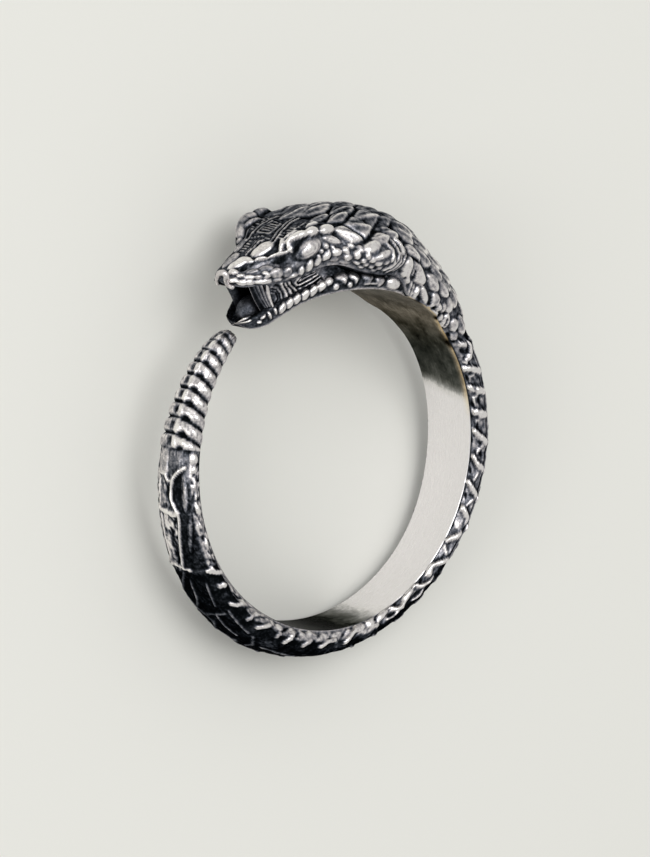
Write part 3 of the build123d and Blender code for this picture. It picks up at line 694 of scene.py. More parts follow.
NECK_SLITS = ribs_from([
    (0.05, -0.03, 0.1, 87.4, 14.4, 84.2, 15),
    (0.05, -0.03, 0.1, 90, 16.9, 85.2, 18),
    (0.04, -0.02, 0.12, 92.2, 15.8, 89.4, 16.5),
    (0.04, -0.02, 0.12, 92.5, 18.4, 89.4, 19.4),
    (0.05, -0.01, 0.03, 52.4, 17.5, 51.2, 18.9),
    (0.05, -0.01, 0.03, 50.6, 19.5, 50.3, 19.7),
    (0.05, -0.01, 0.03, 80.6, 18.8, 80.3, 19.1),
    (0.06, -0.02, 0.04, 77.6, 16.2, 76.3, 17.2, 75.6, 18.4),
    (0.06, -0.02, 0.03, 82.2, 15.1, 79.4, 15, 76.8, 14.3),
    (0.06, 0.17, 0.88, 81.6, 14.4, 79.4, 14.3, 77.2, 13.7),
    (0.05, -0.02, 0.03, 77.2, 18.6, 76.6, 19.9),
    (0.08, 0.08, 0.5, 78.3, 19.2, 77.9, 19.9),
    (0.06, 0.13, 0.85, 75.8, 18, 75, 19.8),
    (0.06, 0.13, 0.85, 74.4, 18, 73.7, 19.8),
    (0.07, 0.12, 0.9, 64.6, 19.7, 61.5, 19.8, 59, 19.7),
    (0.05, -0.02, 0.04, 66.6, 17, 64.9, 18.8, 64.6, 19.4),
    (0.04, -0.01, 0.1, 61.6, 17.2, 60.2, 17.2, 58.8, 18),
])
NECK_PITS = [(43.2, 18.6), (46.6, 19.4), (56.8, 19.4), (69.8, 19.8), (62.4, 19.3)]


def nape_scales():
    """Staggered kites over the far side and the crown of the nape and the neck."""
    scales = []
    angle, odd = 44.0, 0
    while angle < 103.0:
        grown = 2.9 + 0.9 * float(ease(angle, 44.0, 80.0))
        for side in np.arange(-20.0, 15.0, 5.0) + 2.5 * odd:
            if -19.0 < side < (8.5 if angle < 84.0 else 2.5):
                scales.append(Scale(angle, side, grown * 1.5, 2.9, 0.14, 0.56, 1.2, 0.0, 0.09, 0.7))
        angle += grown
        odd = 1 - odd
    return scales


nape = nape_scales()
skin.height -= 0.06 * skin.between(42.0, 104.0, 1.5)
skin.rub += 0.14 * skin.between(42.0, 134.0, 1.5)
skin.rub += 0.20 * skin.between(46.0, 84.0, 2.0) * skin.beyond(13.0, 15.0)
skin.press_scales(nape + NECK_SCALES)
skin.press_ribs(NECK_SLITS)
skin.press_dents(pits(NECK_PITS, 0.08))
print("neck and nape:", len(nape) + len(NECK_SCALES), "scales")

# %% [markdown]
# ## The cheek
#
# The venom gland swells behind the mouth's corner. One big bright scale and a few crescents wrap
# round it, over a crowd of small beads.

# %% Scales of the cheek
CHEEK_SCALES = named(Scale, [
    (94.9, 14.3, 3, 1.15, 0.17, 0.86, 2.4, 0.26),
    (92.4, 15.9, 2.9, 0.7, 0.16, 0.78, 2, 0.26),
    (96.9, 16.2, 0.8, 0.7, 0.13, 0.8),
    (95.5, 17, 0.9, 0.6, 0.13, 0.75),
    (97.8, 17.4, 0.7, 0.6, 0.12, 0.7),
    (93.4, 17.6, 1.1, 0.6, 0.13, 0.75),
    (99.6, 16.4, 0.9, 1.1, 0.13, 0.6),
    (98.6, 15, 1, 0.9, 0.1, 0.55),
    (100.6, 14.6, 1, 0.6, 0.09),
    (91, 17.2, 0.9, 0.5, 0.12, 0.6, 2, 0.2),
    (96.6, 18.2, 0.8, 0.5, 0.11, 0.6),
    (94.8, 18.6, 0.8, 0.5, 0.11, 0.55),
    (92.4, 18.6, 0.8, 0.5, 0.11, 0.55),
    (99, 18.4, 0.8, 0.5, 0.11, 0.6),
    (97.4, 19.1, 0.9, 0.4, 0.1, 0.55),
    (93.6, 19.4, 0.9, 0.4, 0.1, 0.5),
    (90.2, 18.8, 0.9, 0.5, 0.1, 0.55, 2, 0.2),
])
GLAND_RIBS = ribs_from([
    (0.1, 0.15, 0.72, 90.4, 13.4, 88.9, 15, 89.4, 16.8),
    (0.13, 0.16, 0.8, 86.2, 12.6, 84.9, 13.6, 84.8, 15.4),
    (0.08, 0.13, 0.6, 87.6, 12.8, 86.6, 14.6, 86.9, 16.6, 88.8, 18.4),
    (0.07, 0.12, 0.6, 88.6, 16, 88.2, 17.2, 89.6, 18.4),
    (0.08, 0.12, 0.55, 86, 15.4, 85.6, 17, 87.2, 18.8, 89, 19.5),
    (0.07, 0.11, 0.48, 83.8, 13.8, 83.6, 15.6, 84.6, 17.4, 86.4, 19.2),
])
skin.press_dents([Scale(91.5, 16.0, 8.5, 4.6, 0.10, 0.52)])
skin.rub += 0.16 * skin.between(94.0, 107.0, 2.0) * skin.beyond(12.5, 14.5)
skin.press_scales([s._replace(rise=0.85 * s.rise, rub=s.rub - 0.04) for s in CHEEK_SCALES])
skin.press_ribs(GLAND_RIBS)
skin.rub += 0.22 * skin.between(100.0, 134.0, 2.0) * skin.beyond(8.0, 11.0)
print("cheek:", len(CHEEK_SCALES), "scales")

# %% [markdown]
# ## The head
#
# Fine raised lines part three rows of small plates along the top. A bright brow stands over the
# sunken eye, an oval plate lies in front of it, then the nose plates and the nostril. Big scales
# edge the upper lip.

# %% Top, brow, eye and lips
HEAD_SCALES = named(Scale, [
    # Brow, from over the eye to the nape
    (114.2, 9.9, 2.6, 0.95, 0.26, 0.9, 2.2, -0.36),
    (110.5, 10.9, 2, 1.05, 0.22, 0.85, 2.2, -0.1),
    (105.9, 11.2, 2.5, 1.15, 0.2, 0.85, 2.2, 0.14),
    (108.6, 8.9, 2.2, 0.8, 0.13, 0.55, 2, 0.1),
    (114, 7.7, 1.9, 0.5, 0.16, 0.8, 2, -0.15),
    # Ridge from the brow to the nose
    (118.9, 10.6, 2.6, 0.65, 0.2, 0.85, 2, -0.42),
    (122.9, 8.6, 1.5, 0.8, 0.2, 0.85, 2, -0.7),
    # Oval plate before the eye
    (120.3, 5, 3.2, 2.5, 0.14, 0.78, 2.2),
    # Nose plates
    (126.8, 3.2, 3, 2.9, 0.12, 0.85, 2.6, -0.25),
    (129.9, 6.6, 1, 2.8, 0.1, 0.85, 2.2),
    (126.4, -3, 3.2, 2.3, 0.09, 0.55, 2.6),
    (124.9, 6.4, 0.8, 1.4, 0.09, 0.8),
    # Small plates above the lip
    (129.6, 11.4, 0.8, 1.4, 0.11, 0.88, 2.4, -0.4),
    (128.4, 14, 0.9, 1.5, 0.09, 0.84, 2.6, -0.3),
    (126.7, 15.4, 0.9, 1.2, 0.07, 0.56, 2.6, -0.3),
    (124.7, 15.2, 0.7, 1.5, 0.11, 0.82, 2.2, -0.8),
    (125.2, 16.6, 0.7, 0.7, 0.07, 0.58, 2.2),
    (126.8, 11.6, 1.3, 1.2, 0.03, 0.5, 2, -0.3),
    (123.8, 12.8, 1.5, 1.6, 0.02, 0.46, 2, -0.3),
    (122.4, 16.2, 1.7, 2, 0.08, 0.58, 3),
    (119.6, 17.2, 1.3, 1.6, 0.07, 0.55, 2.4, 0.3),
    # Lip
    (131.5, 13, 0.85, 2.3, 0.15, 0.94, 3),
    (130.3, 16, 0.9, 2.2, 0.15, 0.94, 3.4, -0.3),
    (128.9, 17, 0.8, 2, 0.15, 0.93, 3.4, -0.3),
    (126.2, 18.1, 2.1, 1.4, 0.15, 0.9, 3, -0.3),
    (122.8, 19, 1.4, 1.1, 0.1, 0.52, 2.6),
    (118.6, 19.2, 1.9, 1.4, 0.12, 0.6, 1.6, 0.2),
    (115.9, 18.4, 0.9, 1.5, 0.12, 0.75, 2.2),
    (113.4, 18, 1.2, 1.6, 0.14, 0.85, 2.4, 0.1),
    (110.7, 17.9, 1.2, 1.2, 0.13, 0.8, 2.4, 0.1),
    (108, 17.2, 1.4, 1, 0.14, 0.8, 2.2, 0.3),
    (104.9, 16.4, 1.5, 0.9, 0.15, 0.85, 2.4, 0.1),
    (102.2, 15.8, 0.9, 0.9, 0.12, 0.75),
    (101.8, 17.5, 1, 0.9, 0.12, 0.75),
    (105.4, 18.2, 1.3, 0.8, 0.08),
    (102, 19, 1.4, 0.7, 0.08),
    # Beads behind the eye
    (107.7, 14.9, 0.8, 0.7, 0.1, 0.6),
    (109.4, 15.7, 0.6, 0.55, 0.1, 0.6),
    (110.6, 16.6, 0.6, 0.5, 0.09, 0.6),
    (105.8, 15.3, 0.6, 0.5, 0.08, 0.55),
    (107.2, 16, 0.5, 0.4, 0.08, 0.55),
    # Far brow
    (115.6, -8.6, 2.5, 1.6, 0.27, 0.78, 3, 0.1),
    (111.8, -9, 3.4, 1.5, 0.31, 0.74, 3, 0.1),
    (106.8, -9.8, 3, 1.7, 0.29, 0.6, 3, 0.1),
    (112.6, -7.2, 3, 0.7, 0.2, 0.45, 3, -0.2),
    (118.3, -8.1, 1.3, 1.2, 0.2, 0.6, 2.2),
    (120.3, -5.8, 2.8, 1.6, 0.1, 0.45, 2.2),
])
HEAD_DENTS = named(Scale, [
    (113.6, 13.6, 4.4, 3.4, -0.22, 0.03, 2, -0.1),
    (119.2, 13.4, 3.6, 3, -0.18, 0.5, 2, -0.2),
    (124.4, 11.4, 3.4, 2.6, -0.09, 0.62, 2, -0.4),
    (119.8, 12.2, 3.2, 1.3, -0.08, 0.24, 2, -0.2),
    (127.5, 7.9, 1.5, 2, -0.2, 0.04, 2, 0.5),
    (113.6, -13.6, 4.4, 3.4, -0.22, 0.05, 2, 0.1),
    (119.2, -13.4, 3.6, 3, -0.2, 0.05, 2, 0.2),
    (127.5, -9.9, 1.5, 2, -0.16, 0.05, 2, -0.5),
])
HEAD_LINES = ribs_from([
    (0.12, 0.24, 0.9, 116.1, 7.7, 117, 8.8, 118.2, 10.1),
    (0.1, 0.22, 0.85, 115.8, 9.2, 116.5, 10.4, 116.7, 11.8),
    (0.035, 0.075, 0.6, 118.6, -4.6, 114, -4, 106, -4.4),
    (0.03, 0.05, 0.4, 117.6, -6.2, 112, -6.4, 107, -6.4),
    (0.035, 0.08, 0.65, 117.6, 6, 115.6, 5, 113.2, 3.6, 108.4, 1.8, 104.8, 0.8),
    (0.03, 0.075, 0.6, 117.4, 4.6, 115.4, 3.6, 113.2, 2.4, 108.6, 0.6, 105.2, -0.2),
    (0.03, 0.06, 0.5, 116.8, 7.4, 113.4, 6.8, 110, 6, 106.8, 5),
    (0.03, 0.07, 0.5, 123.6, -4.4, 121, -4.2, 118.2, -4.4),
    (0.035, 0.07, 0.6, 123.8, 2, 121, 1.6, 118.4, 1.2, 117.2, 2),
    (0.03, 0.06, 0.5, 117.4, -3.6, 116.4, 0, 116.8, 3.6),
    (0.025, 0.06, 0.6, 115, -3, 115, 1.4, 110, 0, 109.4, -3.2, 115, -3),
    (0.022, 0.05, 0.4, 123, 0.6, 120.6, 0.4, 118.4, 0),
])
# The first bar's angle, the sides of its two ends, the step from bar to bar and their count
HATCHES = [
    (114.6, -5.9, -4.8, -1.15, 6),
    (113.9, -2.6, 0.2, -0.95, 4),
    (115.8, 4.9, 6.6, -1.05, 6),
    (122.6, -3.2, -1.0, -1.0, 5),
    (122.6, 1.0, 1.8, -0.9, 6),
]


def hatch_bars():
    """Rows of short bars across the plates on top of the head."""
    bars = []
    for first, near, far, step, count in HATCHES:
        places = [first + step * k for k in range(count)]
        bars += [Rib([(place, near), (place - 0.2, far)], 0.03, 0.07, 0.6) for place in places]
    return bars


off_spine = np.abs(skin.side)
skin.height -= 0.04 * skin.between(102.0, 133.5, 1.5)
skin.press_dents(HEAD_DENTS)
skin.press_scales(HEAD_SCALES)
skin.rub -= 0.34 * skin.between(103.0, 121.0, 1.5) * ease(-skin.side, 6.8, 7.8)
skin.rub += 0.04 * skin.between(84.0, 124.0, 2.0) * (1 - ease(off_spine, 9.0, 11.0))
skin.rub += 0.12 * skin.between(44.0, 84.0, 3.0) * skin.beyond(6.0, 10.0)
skin.rub -= 0.09 * skin.between(82.0, 104.0, 3.0) * (1 - ease(off_spine, 10.0, 12.0))
skin.rub += 0.05 * skin.between(84.0, 104.0, 3.0) * skin.beyond(11.0, 13.0)
skin.rub += 0.05 * ease(skin.angle, 119.0, 123.0)
skin.press_ribs(HEAD_LINES + hatch_bars())
print("head:", len(HEAD_SCALES), "scales and", len(HEAD_LINES + hatch_bars()), "lines")

# %% [markdown]
# ## The eye
#
# An almond of several low steps, like the rings of a tree, set in the dark hollow. Its front
# corner is black.

# %% The two eyes
EYE_ANGLE = 112.7
EYE_SIDE = 13.9
for way in (1, -1):
    across = skin.side - way * EYE_SIDE
    off = np.hypot((skin.angle - EYE_ANGLE) / 4.5, across / 2.15)
    rings = np.cos(20.0 * np.hypot((skin.angle - EYE_ANGLE - 0.8) / 4.2, across / 2.3))
    corner = ease(skin.angle, 114.6, 115.8)
    dome = 0.24 * np.clip(1 - off**2, 0, 1) - 0.08 + 0.014 * rings
    shine = (0.78 - 0.12 * off + 0.08 * rings) * (1 - 0.80 * corner)
    skin.height = np.where(off < 1, np.maximum(skin.height, dome), skin.height)
    skin.rub = np.where(off < 1, shine, skin.rub)

# %% [markdown]
# ## Raising the skin
#
# The height map is softened a little, because a casting has no sharp edges, faded out at the
# edges of the smooth inside, and added along the skin's own normals. The rubbing is strongest on
# what stands above its surroundings, so that is added to what the tables say.

# %% Height maps to points and polish
UNEVEN = [(0.55, 0.012), (0.22, 0.008), (0.12, 0.006)]


def soften(field, passes):
    """A field averaged with its neighbours, over and over."""
    for _ in range(passes):
        wide = np.pad(field, 1, mode="edge")
        beside = wide[:-2, 1:-1] + wide[2:, 1:-1] + wide[1:-1, :-2] + wide[1:-1, 2:]
        field = (beside + 2 * field) / 6
    return field


def normals(points):
    """Unit normals of a wrapped grid of points, pointing away from its middle."""
    along = np.gradient(points, axis=0)
    around = np.roll(points, -1, axis=1) - np.roll(points, 1, axis=1)
    out = np.cross(along, around)
    out /= np.linalg.norm(out, axis=2, keepdims=True) + 1e-12
    middle = points.mean(axis=1, keepdims=True)
    return -out if ((points - middle) * out).sum() < 0 else out


def raise_sheet(points, sheet, fade, seed, inside):
    """The points lifted by the height map, and the polish of each, with one for the inside."""
    waves = [mottle(sheet, size, seed + k) * depth for k, (size, depth) in enumerate(UNEVEN)]
    raised = (soften(sheet.height, 1) + sum(waves)) * fade
    stand = (raised - soften(raised, 6)) / 0.03 + 0.5 * (raised - soften(raised, 40)) / 0.05
    edges = (raised - soften(raised, 2)) / 0.010
    bare = soften(sheet.rub, 1) + 0.14 * np.clip(stand, -1.5, 1.8)
    bare += 0.09 * np.clip(edges, -1.6, 1.3) + 0.05 * mottle(sheet, 0.10, seed + 3)
    lift, polish = np.zeros(points.shape[:2]), np.full(points.shape[:2], inside)
    lift[:, : raised.shape[1]] = raised
    polish[:, : raised.shape[1]] = bare
    return points + normals(points) * lift[:, :, None], polish


fade = ease(EDGE - np.abs(skin.side), 0.0, 1.2)
skin_points, skin_polish = raise_sheet(skin_points, skin, fade, 7, 0.05)
# The painted shade along the back's edges, laid on the polish once more
skin_polish[:, :back] *= 1 - 0.8 * wall_edge_shade
print("relief from", skin.height.min().round(3), "to", skin.height.max().round(3), "mm")

# %% [markdown]
# ## Meshing a wrapped grid
#
# bmesh makes a flat grid with one line for every station, and each of its points is moved to its
# place on the snake. The ends are drawn in to a point, the long seam is welded, and a UV map in
# millimetres keeps the direction of the snake for the finishes.

# %% From grid to mesh
CAP_ROWS = 7


def rounded_ends(points, depths):
    """Extra stations that close both ends with a rounded cap, as deep as is given."""
    caps = []
    turns = np.linspace(0, np.pi / 2, CAP_ROWS + 1)[1:]
    for row, next_row, depth in zip((points[0], points[-1]), (points[1], points[-2]), depths):
        middle = row.mean(axis=0)
        out = middle - next_row.mean(axis=0)
        out = out / np.linalg.norm(out)
        rim = row - middle
        caps.append([middle + rim * np.cos(t) + out * depth * np.sin(t) for t in turns])
    return np.concatenate([caps[0][::-1], points, caps[1]])


def padded(field):
    """A field of the stations, repeated over the rows of both caps."""
    return np.concatenate([field[:1].repeat(CAP_ROWS, 0), field, field[-1:].repeat(CAP_ROWS, 0)])


def finished(name, bm, material):
    """A bmesh as an object that rides on the ring's body and stands for its solid."""
    for face in bm.faces:
        face.smooth = True
    mesh = bpy.data.meshes.new(name)
    bm.to_mesh(mesh)
    bm.free()
    piece = bpy.data.objects.new(name, mesh)
    bpy.context.scene.collection.objects.link(piece)
    mesh.materials.append(material)
    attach(piece, "root")
    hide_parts("snake_ring")
    print(name, len(mesh.vertices), "points,", len(mesh.polygons), "faces")
    return piece


def wrapped_mesh(name, points, marks, material, depths, creases=()):
    """An object from a wrapped grid of points, with named numbers on each of them."""
    steps = np.linalg.norm(np.diff(points.mean(axis=1), axis=0), axis=1)
    along = padded(np.cumsum(np.r_[0.0, steps]))
    steps = np.linalg.norm(np.diff(points, axis=1), axis=2).mean(axis=0)
    around = np.cumsum(np.r_[0.0, steps, 0.1])
    marks = {key: padded(np.clip(field, 0.0, 1.0)) for key, field in marks.items()}
    place = in_frame(rounded_ends(points, depths))
    rows, columns = place.shape[:2]
    bm = bmesh.new()
    bmesh.ops.create_grid(bm, x_segments=rows - 1, y_segments=columns, size=1.0)
    layers = {key: bm.verts.layers.float.new(key) for key in marks}
    uv = bm.loops.layers.uv.new("along")
    seats = {}
    for vert in bm.verts:
        seats[vert] = round((vert.co.x + 1) / 2 * (rows - 1)), round((vert.co.y + 1) / 2 * columns)
    for face in bm.faces:
        for loop in face.loops:
            i, j = seats[loop.vert]
            loop[uv].uv = (along[i], around[j])
    for vert, (i, j) in seats.items():
        vert.co = place[i, j % columns]
        for key, layer in layers.items():
            vert[layer] = marks[key][i, j % columns]
    for edge in bm.edges:
        first, second = (seats[vert][1] % columns for vert in edge.verts)
        edge.smooth = not (first == second and first in creases)
    bmesh.ops.remove_doubles(bm, verts=bm.verts, dist=1e-8)
    bmesh.ops.recalc_face_normals(bm, faces=bm.faces)
    return finished(name, bm, material)


# %% [markdown]
# ## The finish
#
# The casting is dipped in a bath that turns the whole of it black, and is then rubbed, so bare
# silver shows on everything that stands up. One shader does both: the number kept on each point
# drives the colour from oxide to silver, with noise that breaks the border up, and the rubbed
# places are smoother than the black. The inside is brushed round the finger, and stained brown
# under the neck, with a painted gold reflection on a lighter strip along its edge next to the back.

# %% Blackened silver
def node(tree, kind, **values):
    """A new node with its settings and the values of its sockets."""
    made = tree.nodes.new(kind)
    for key, value in values.items():
        if key in made.inputs:
            made.inputs[key].default_value = value
        else:
            setattr(made, key, value)
    return made


def ramp(tree, fac, stops):
    """A colour ramp on a value; a plain number as a stop's colour is a grey."""
    made = tree.nodes.new("ShaderNodeValToRGB")
    points = made.color_ramp.elements
    while len(points) < len(stops):
        points.new(0.5)
    for point, (place, colour) in zip(points, stops):
        point.position = place
        point.color = (*colour, 1.0) if isinstance(colour, tuple) else (colour, colour, colour, 1.0)
    tree.links.new(fac, made.inputs["Fac"])
    return made.outputs["Color"]


def combined(tree, kind, a, b):
    """One sum of two values, each a number or another node's output."""
    made = tree.nodes.new("ShaderNodeMath")
    made.operation = kind
    for socket, value in zip(made.inputs, (a, b)):
        if isinstance(value, (int, float)):
            socket.default_value = value
        else:
            tree.links.new(value, socket)
    return made.outputs[0]


def noise(tree, vector, scale, detail, roughness):
    """The strength of a noise texture, from 0 to 1."""
    made = node(tree, "ShaderNodeTexNoise", Scale=scale, Detail=detail, Roughness=roughness)
    tree.links.new(vector, made.inputs["Vector"])
    return made.outputs["Fac"]


def centred(tree, value, strength):
    """A value from 0 to 1 moved to lie about 0, with a strength."""
    return combined(tree, "MULTIPLY", combined(tree, "SUBTRACT", value, 0.5), strength)


def kept(tree, name):
    """A number that is kept on the mesh's points."""
    return node(tree, "ShaderNodeAttribute", attribute_name=name).outputs["Fac"]


def bumped(tree, height, strength, distance):
    """The surface's direction over a bump."""
    made = node(tree, "ShaderNodeBump", Strength=strength, Distance=distance)
    tree.links.new(height, made.inputs["Height"])
    return made.outputs["Normal"]


def metal(name):
    """A new metal, with its node tree and the inputs of its shader."""
    material = bpy.data.materials.new(name)
    material.use_nodes = True
    inputs = material.node_tree.nodes["Principled BSDF"].inputs
    inputs["Metallic"].default_value = 1.0
    return material, material.node_tree, inputs


def blackened_silver():
    material, tree, inputs = metal("blackened_silver")
    link = tree.links.new
    place = tree.nodes.new("ShaderNodeTexCoord").outputs["Object"]
    blotch = noise(tree, place, 2600.0, 4.0, 0.65)
    grain = noise(tree, place, 9000.0, 3.0, 0.6)
    worn = combined(tree, "ADD", kept(tree, "polish"), centred(tree, blotch, 0.60))
    worn = combined(tree, "ADD", worn, centred(tree, grain, 0.45))
    colour = ramp(tree, worn, [
        (0.0, (0.004, 0.005, 0.006)),
        (0.16, (0.020, 0.023, 0.028)),
        (0.32, (0.062, 0.068, 0.082)),
        (0.48, (0.165, 0.170, 0.195)),
        (0.66, (0.38, 0.37, 0.39)),
        (0.84, (0.70, 0.66, 0.66)),
        (1.0, (0.96, 0.93, 0.91)),
    ])
    link(colour, inputs["Base Color"])
    link(ramp(tree, worn, [(0.0, 0.05), (0.45, 0.60), (0.8, 1.0)]), inputs["Specular Tint"])
    link(ramp(tree, worn, [(0.0, 0.60), (0.45, 0.44), (1.0, 0.28)]), inputs["Roughness"])
    link(bumped(tree, combined(tree, "ADD", grain, blotch), 0.5, 0.00003), inputs["Normal"])
    return material


def brushed_silver():
    material, tree, inputs = metal("brushed_silver")
    link = tree.links.new
    stretch = node(tree, "ShaderNodeMapping", Scale=(0.35, 9.0, 1.0))
    link(node(tree, "ShaderNodeUVMap", uv_map="along").outputs["UV"], stretch.inputs["Vector"])
    brush = noise(tree, stretch.outputs["Vector"], 3.0, 5.0, 0.7)
    place = tree.nodes.new("ShaderNodeTexCoord").outputs["Object"]
    cloud = centred(tree, noise(tree, place, 900.0, 5.0, 0.7), 0.75)
    stain_and_reflection = kept(tree, "stain_and_reflection")
    uneven = combined(tree, "ADD", cloud, centred(tree, brush, 0.45))
    uneven = combined(tree, "MULTIPLY", uneven, ramp(tree, stain_and_reflection, [(0.0, 0.0), (0.25, 1.0)]))
    ragged = combined(tree, "ADD", stain_and_reflection, uneven)
    cold = ramp(tree, ragged, [
        (0.0, (0.94, 0.915, 0.925)),
        (0.25, (0.80, 0.78, 0.77)),
        (0.45, (0.30, 0.30, 0.29)),
        (0.62, (0.145, 0.148, 0.134)),
        (0.80, (0.060, 0.063, 0.056)),
        (1.0, (0.010, 0.011, 0.011)),
    ])
    gold = ramp(tree, ragged, [
        (0.0, (0.92, 0.80, 0.58)),
        (0.30, (0.62, 0.46, 0.24)),
        (0.55, (0.24, 0.17, 0.085)),
        (0.78, (0.085, 0.066, 0.040)),
        (1.0, (0.020, 0.017, 0.012)),
    ])
    blend = node(tree, "ShaderNodeMix", data_type="RGBA")
    link(kept(tree, "tarnish_and_gold_reflection"), blend.inputs["Factor"])
    # The colour sockets of a mix node stand after those for numbers and vectors
    link(cold, blend.inputs[6])
    link(gold, blend.inputs[7])
    link(blend.outputs[2], inputs["Base Color"])
    link(ramp(tree, ragged, [(0.25, 1.0), (0.8, 0.3)]), inputs["Specular Tint"])
    link(ramp(tree, brush, [(0.3, 0.22), (0.7, 0.38)]), inputs["Roughness"])
    link(bumped(tree, brush, 0.25, 0.00002), inputs["Normal"])
    return material


blackened = blackened_silver()
brushed = brushed_silver()


# %% The skin of trunk and head
def give_inside(piece):
    """The brushed finish on every face that lies on the finger hole."""
    piece.data.materials.append(brushed)
    middle, axis = Vector(hole["pos_m"]), Vector(hole["axis"])
    count = 0
    for face in piece.data.polygons:
        arm = face.center - middle
        out = arm - axis * arm.dot(axis)
        if out.length < (FINGER_RADIUS + 0.03) * MM and face.normal.dot(out) < 0:
            face.material_index = 1
            count += 1
    print("faces on the hole:", count)


BROWN_SPOTS = (69.3, 56.8, 43.0)
angle, z = skin.angle, skin_points[:, :, 2]
edge_z = z[:, back - 1 : back]
near_edge = ease(z, edge_z - 0.34, edge_z - 0.04)
stain_and_reflection = 0.80 * ease(angle - (24.0 - 1.2 * z), -4.5, 4.0) - 0.20 * ease(angle, 44.0, 58.0)
# Painted reflection: the inside lighter along its edge next to the back, from the neck on
stain_and_reflection -= 0.42 * near_edge * ease(angle, 14.0, 26.0)
stain_and_reflection += 0.80 * (1 - ease(angle, -81.0, -58.0)) + 0.08 * (1 - ease(angle, -62.0, -30.0))
for spot in BROWN_SPOTS:
    stain_and_reflection += 0.9 * near_edge * bell(angle, spot, 1.5)
# Brown tarnish under the neck, and a painted gold reflection along the inside's edge
tarnish_and_gold_reflection = 0.85 * near_edge * ease(angle, 12.0, 22.0) + 0.50 * ease(angle, 34.0, 60.0)
marks = {"polish": skin_polish, "stain_and_reflection": stain_and_reflection, "tarnish_and_gold_reflection": tarnish_and_gold_reflection}
snake = wrapped_mesh("snake_skin", skin_points, marks, blackened, (0.16, 0.12), (0, back - 1))
give_inside(snake)

# %% [markdown]
# ## The lower jaw
#
# A trough with a rolled lip. Its floor carries the tongue, and big oval scales edge its lip.

# %% The jaw's skin
JAW_SPAN = 10.0


def top_and_foot(angles, shares):
    """Half outlines of the jaw's trough at shares from its middle, and of its foot."""
    j = look_up(JAW, angles)
    zero = np.zeros_like(angles)
    under = 0.5 * (j.under_up + np.hypot(j.under_up, 0.06)) + 0.26 * (1 - ease(angles, 66.0, 72.0))
    top = from_shares([
        (zero, j.floor_up), (0.45 * j.half, j.floor_up), (0.66 * j.half, j.floor_up + 0.03),
        (0.84 * j.half, j.lip_up), (j.half, j.side_up + 0.10),
        (j.half, 0.5 * (j.side_up + under)), (0.95 * j.half, under),
    ], JAW_HALF_WIDTH, JAW_THICKNESS)
    foot = from_shares([
        (0.95 * j.half, under), (0.5 * j.half, under), (zero, under),
    ], JAW_HALF_WIDTH, JAW_THICKNESS)
    return smooth_run(top, shares), foot, j.shift * JAW_HALF_WIDTH


jaw_angles = stations((48.0, 96.0, 0.36), (96.0, 134.6, 0.28))
jaw_sides = np.linspace(-JAW_SPAN, JAW_SPAN, 91)
jaw_ring = closed_sections(*top_and_foot(jaw_angles, np.abs(jaw_sides) / JAW_SPAN), jaw_sides)
jaw_points = round_the_hole(jaw_angles, jaw_ring)
jaw = Sheet(jaw_points, jaw_angles, jaw_sides, 0.14)
LIP_SCALES = named(Scale, [
    (134.6, 5, 0.8, 0.6, 0.09, 0.95, 2.2),
    (134.6, 6.5, 0.8, 0.42, 0.08, 0.75, 2.2),
    (133.4, 5, 0.6, 0.5, 0.08, 0.9, 2.2),
    (132.4, 8.2, 0.7, 0.45, 0.08, 0.85, 2.2),
    (130.7, 7.4, 1.1, 0.35, 0.1, 0.75, 2.2, 0.12),
    (128.6, 8, 0.5, 1, 0.11, 0.74, 2.2, 0.22),
    (126.4, 7.9, 0.5, 0.7, 0.11, 0.74, 2.2, 0.22),
    (124, 8.3, 1.5, 0.9, 0.12, 0.76, 2.8, 0.22),
    (121.1, 8.3, 1.5, 0.9, 0.12, 0.8, 2.8, 0.22),
    (118.2, 8.3, 1.5, 0.9, 0.12, 0.76, 2.8, 0.22),
    (115.2, 8.3, 1.5, 0.9, 0.12, 0.8, 2.8, 0.22),
    (112.2, 8.2, 1.5, 0.9, 0.12, 0.76, 2.8, 0.22),
    (109.3, 7.9, 1.5, 0.9, 0.12, 0.8, 2.8, 0.22),
    (106.3, 7.3, 1.5, 1, 0.12, 0.76, 2.8, 0.22),
    # Flat scales under the corner of the mouth
    (101.8, 7.6, 2, 1.2, 0.1, 0.7, 1.5, 0, 0, 0, -0.6),
    (97.8, 7.9, 1.8, 1.1, 0.1, 0.7, 1.5, 0, 0, 0, -0.6),
    (104.6, 8.9, 1, 0.6, 0.08, 0.6),
    (100, 9, 0.9, 0.5, 0.08, 0.6),
    (93, 8, 2.2, 1.2, 0.08, 0.45, 1.6, 0, 0, 0, -0.4),
    (88.6, 8.6, 1.8, 1, 0.08, 0.52, 1.6, 0, 0, 0, -0.4),
    (82.8, 8.4, 2.7, 1.4, 0.14, 0.84, 1.7, 0, 0, 0, 0.6),
    (85.4, 7.4, 1.2, 0.7, 0.1, 0.45, 1.8, 0.3),
])
off_middle = np.abs(jaw.side)
jaw.height -= 0.04 * ease(off_middle, 5.0, 6.0)
jaw.rub += 0.20 * ease(off_middle, 5.6, 7.0) + 0.50 * ease(off_middle, 9.5, 9.9)
for s in LIP_SCALES:
    jaw.press_scales([s])
    if s.angle < 132.0:
        jaw.press_scales([s._replace(side=-s.side, lean=-s.lean, taper=-s.taper)])
jaw.press_ribs([rib_along((94.4, 9.1, 92.0, 9.2, 89.9, 9.0), 0.045, 0.10, 0.85)])
jaw_fade = ease(JAW_SPAN - off_middle, 0.0, 0.8)
jaw_points, jaw_polish = raise_sheet(jaw_points, jaw, jaw_fade, 17, 0.25)
jaw_stain = np.full(jaw_points.shape[:2], 0.61)
marks = {"polish": jaw_polish, "stain_and_reflection": jaw_stain, "tarnish_and_gold_reflection": 0.8 * jaw_stain}
